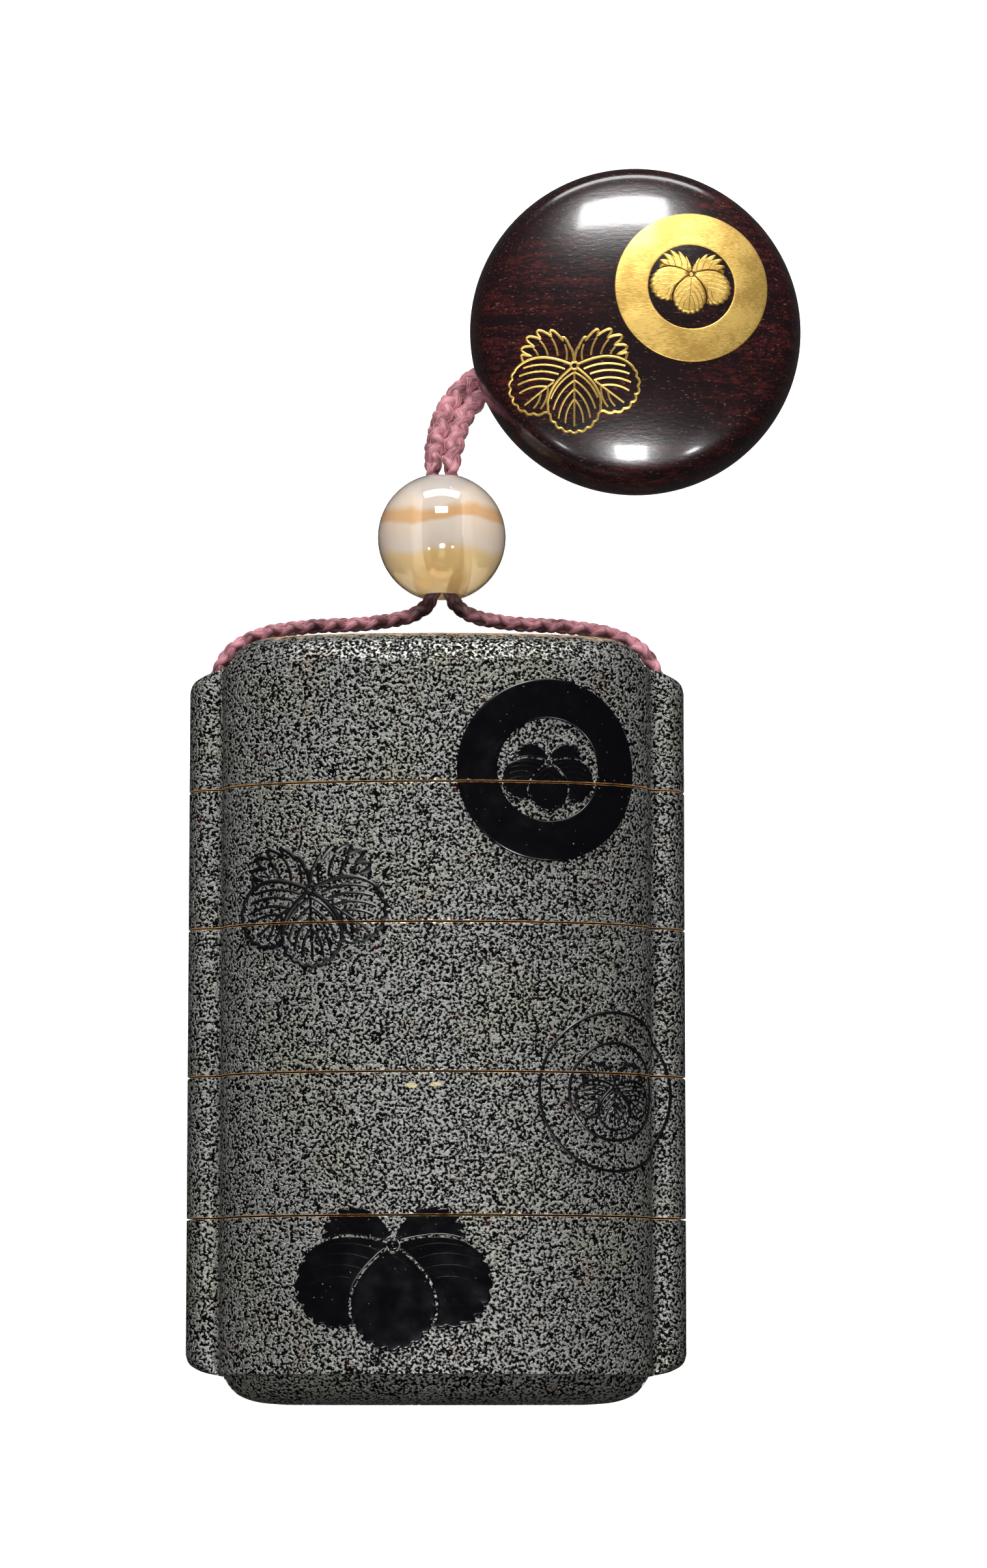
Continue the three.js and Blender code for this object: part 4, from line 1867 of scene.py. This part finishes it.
@dataclass
class CrestMaker:
    """Raises a crest on a surface and returns its meshes."""

    surface: Placer
    finish: bpy.types.Material
    step: float = 0.22 * MM

    def lay(self, origin: tuple[float, float], height: float, bevel: float) -> Relief:
        """Return the tool that raises shapes about a place on the surface."""

        def place(across: float, along: float, above: float) -> Vector:
            """Move a place on the crest to the surface."""
            return self.surface(origin[0] + across, origin[1] + along, above)

        return Relief(place, height, bevel)

    def bars(
        self, crest: Crest, lines: Sequence[Sequence[Vector]], radius: float, proud: float
    ) -> bpy.types.Mesh:
        """Raise a set of the leaf's lines.

        Args:
            crest: The crest that they belong to.
            lines: The lines, in shares of the leaf.
            radius: Their radius.
            proud: How far they stand proud.

        Returns:
            Their mesh.
        """
        relief = self.lay(crest.origin, proud, crest.bevel)
        laid = [relief.line([crest.flat(point) for point in line], radius, self.step) for line in lines]
        return raised_lines(laid, radius, self.finish)

    def build(self, crest: Crest) -> list[bpy.types.Mesh]:
        """Raise one crest.

        Args:
            crest: What to draw.

        Returns:
            Its meshes.
        """
        relief = self.lay(crest.origin, crest.height, crest.bevel)
        if crest.style is CrestStyle.OUTLINE:
            meshes = [
                self.bars(crest, crest.outlines(), crest.line, 0.5 * crest.line),
                self.bars(crest, crest.veins(), crest.vein, 0.45 * crest.vein),
            ]
            if crest.ring:
                circles = [circle(radius, 180) for radius in crest.ring]
                laid = [relief.line(points, crest.line, 2 * self.step) for points in circles]
                meshes.append(raised_lines(laid, 1.1 * crest.line, self.finish))
            return meshes
        shells = [relief.band(strip, crest.knob()) for strip in crest.strips()]
        if crest.ring:
            shells.append(relief.band(Strip.full_ring(*crest.ring), Vector((0, 0))))
        ridge = 0.5 if crest.style is CrestStyle.VEINED else 0.1
        proud = crest.height + ridge * crest.vein
        return [join_shells(shells), self.bars(crest, crest.veins(), crest.vein, proud)]


class Wrap:
    """The front of the case unrolled: a distance across it becomes a place on its curved surface."""

    def __init__(self, section: Section) -> None:
        """Measure the section's front once."""
        self.section = section
        self.outline = [Vector(point) for point in section.quarter(0, 1)]
        steps = [(b - a).length for a, b in zip(self.outline, self.outline[1:])]
        self.lengths = [0.0, *np.cumsum(steps)]
        self.normals = []
        for index in range(len(self.outline)):
            before = self.outline[max(index - 1, 0)]
            after = self.outline[min(index + 1, len(self.outline) - 1)]
            onward = after - before
            self.normals.append(Vector((-onward.y, onward.x)).normalized())
        self.normals[0] = Vector((0, 1))

    def __call__(self, across: float, level: float, height: float) -> Vector:
        """Return the point that lies a distance across the front and a height above it."""
        side = -1 if across < 0 else 1
        index = min(max(bisect(self.lengths, abs(across)) - 1, 0), len(self.lengths) - 2)
        share = (abs(across) - self.lengths[index]) / (self.lengths[index + 1] - self.lengths[index])
        spot = self.outline[index].lerp(self.outline[index + 1], share)
        normal = self.normals[index].lerp(self.normals[index + 1], share).normalized()
        spot = spot + normal * height
        return self.section.place(side * spot.x, level, spot.y)


@dataclass
class CaseCrests:
    """The four black crests that run across the seams, split so that each case keeps its share."""

    section: Section
    case: Case
    worn: float = 0.1 * MM

    def crests(self) -> list[Crest]:
        """Return the crests: ringed leaf, open leaf, ringed open leaf and large leaf."""
        return [
            Crest((12.95 * MM, 27.83 * MM), 5.75 * MM, CrestStyle.SOLID,
                  cut=LeafCut(12, 7, 9, 0.1), lift=0.87 * MM, gap=0.17 * MM, vein=0.03 * MM,
                  ring=(5.9 * MM, 10.55 * MM), steps=110),
            Crest((-14.49 * MM, 14.1 * MM), 8.9 * MM, CrestStyle.OUTLINE, turn=2.4,
                  cut=LeafCut(0, 5, 13, 0.22), line=0.3 * MM, vein=0.22 * MM),
            Crest((20.93 * MM, -8.9 * MM), 5.0 * MM, CrestStyle.OUTLINE, lift=0.6 * MM, height=0.12 * MM,
                  line=0.19 * MM, vein=0.13 * MM, ring=(5.55 * MM, 9.05 * MM)),
            Crest((-4.75 * MM, -26.5 * MM), 12.0 * MM, CrestStyle.SOLID,
                  cut=LeafCut(13, 7, 9, 0.09), gap=0.28 * MM, vein=0.03 * MM),
        ]  # fmt: skip

    def share(self, whole: bmesh.types.BMesh, low: float, high: float) -> bpy.types.Mesh | None:
        """Cut out the part of the crests between two seams.

        Args:
            whole: All four crests.
            low: Lowest level kept.
            high: Highest level kept.

        Returns:
            That part as a mesh with its rims marked as worn, or nothing.
        """
        part = whole.copy()
        for level, keep in ((low, -1), (high, 1)):
            for depth, clear in ((self.worn, False), (0.0, True)):
                cut = bmesh.ops.bisect_plane(
                    part,
                    geom=[*part.verts, *part.edges, *part.faces],
                    plane_co=(0, level - keep * depth, 0),
                    plane_no=(0, keep, 0),
                    clear_outer=clear,
                    dist=0.001 * MM,
                )
                if clear:
                    rim = [item for item in cut["geom_cut"] if isinstance(item, bmesh.types.BMEdge)]
                    bmesh.ops.holes_fill(part, edges=rim)
        if not part.faces:
            part.free()
            return None
        bmesh.ops.recalc_face_normals(part, faces=part.faces)
        wear = part.verts.layers.float.new("wear")
        for vert in part.verts:
            vert[wear] = float(min(abs(vert.co.y - low), abs(vert.co.y - high)) < 0.4 * self.worn)
        mesh = bpy.data.meshes.new("crest")
        part.to_mesh(mesh)
        part.free()
        return mesh

    def build(self) -> list[bpy.types.Object]:
        """Raise the crests and share them out among the cases.

        Returns:
            One finished piece for each case that carries a share.
        """
        finish = CrestLacquer().build()
        maker = CrestMaker(Wrap(self.section), finish)
        whole = gathered(mesh for crest in self.crests() for mesh in maker.build(crest))
        half = self.case.seam_gap / 2
        levels = [-1.0, *self.case.seams(), 1.0]
        names = ("bottom_case", "lower_case", "middle_case", "upper_case", "lid")
        pieces = []
        for name, low, high in zip(names, levels, levels[1:]):
            mesh = self.share(whole, low + half, high - half)
            if mesh is None:
                continue
            finish_shading(mesh, sharp_degrees=40)
            piece = new_object(f"crests_on_{name}", mesh, finish)
            dress(piece, "gloss_lacquer")
            pieces.append(piece)
        whole.free()
        return pieces


@dataclass
class NetsukeCrests:
    """The gold crests on the toggle's face: a leaf in relief within a flat ring, and an open leaf."""

    netsuke: Netsuke
    ring_place: tuple[float, float] = (29.82 * MM, 86.02 * MM)
    ring_radii: tuple[float, float] = (5.07 * MM, 9.0 * MM)
    ring_height: float = 0.05 * MM
    ring_bevel: float = 0.12 * MM
    open_place: tuple[float, float] = (16.06 * MM, 76.6 * MM)
    face_from: float = 7.4 * MM
    probe: float = 0.3 * MM
    level_middle: float = 0.1 * MM

    def face(self) -> Placer:
        """Return the placer that lays flat places on the toggle's domed face."""
        centre = self.netsuke.centre()
        domed = [point for point in reversed(self.netsuke.turned()) if point[1] > self.face_from]
        radii, heights = zip(*domed)

        def place(across: float, along: float, above: float) -> Vector:
            """Lay one place on the face."""
            spot = Vector((across - centre.x, along - centre.y, 0))
            out = spot.length
            level = float(np.interp(out, radii, heights))
            slope = (float(np.interp(out + self.probe, radii, heights)) - level) / self.probe
            lean = spot.normalized() * -slope if out > self.level_middle else Vector((0, 0, 0))
            normal = (lean + Vector((0, 0, 1))).normalized()
            return Vector((across, along, level)) + normal * above

        return place

    def crests(self) -> list[Crest]:
        """Return the ringed leaf in relief and the open leaf."""
        return [
            Crest(self.ring_place, 4.9 * MM, CrestStyle.VEINED, turn=-4.8, lift=1.45 * MM,
                  gap=0.1 * MM, height=0.3 * MM, bevel=0.45 * MM, vein=0.07 * MM, steps=110),
            Crest(self.open_place, 7.8 * MM, CrestStyle.OUTLINE, line=0.2 * MM, vein=0.15 * MM),
        ]  # fmt: skip

    def build(self) -> bpy.types.Object:
        """Raise both crests and the flat ring.

        Returns:
            The finished piece.
        """
        finish = GoldLacquer().build()
        maker = CrestMaker(self.face(), finish)
        flat = maker.lay(self.ring_place, self.ring_height, self.ring_bevel)
        meshes = [join_shells([flat.band(Strip.full_ring(*self.ring_radii), Vector((0, 0)))])]
        for crest in self.crests():
            meshes += maker.build(crest)
        whole = gathered(meshes)
        bmesh.ops.recalc_face_normals(whole, faces=whole.faces)
        joined = bpy.data.meshes.new("gold")
        whole.to_mesh(joined)
        whole.free()
        finish_shading(joined, sharp_degrees=40)
        piece = new_object("gold_crests_on_netsuke", joined, finish)
        dress(piece, "gold_lacquer")
        return piece


# ---------------------------------------------------------------------------------------------------
# The whole scene
# ---------------------------------------------------------------------------------------------------


def write_sizes() -> None:
    """Gather the solids' box and the dressed model's box as plain lists; nothing is written."""
    boxes = {"solids": CAD_BOX, "dressed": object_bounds()}
    plain = {name: [list(map(float, corner)) for corner in box] for name, box in boxes.items()}


def main() -> None:
    """Build the studio and every piece, in order."""
    logging.basicConfig(level=logging.INFO, format="%(name)s: %(message)s")
    studio = Studio()
    studio.camera()
    bead = Bead()
    cord = Cord(bead)
    cord.build()
    bead.build()
    section = Section()
    case = Case(section, cord)
    case.build()
    CaseCrests(section, case).build()
    netsuke = Netsuke(cord)
    netsuke.build()
    NetsukeCrests(netsuke).build()
    studio.floor()
    studio.lights()
    write_sizes()


if __name__ == "__main__":
    main()
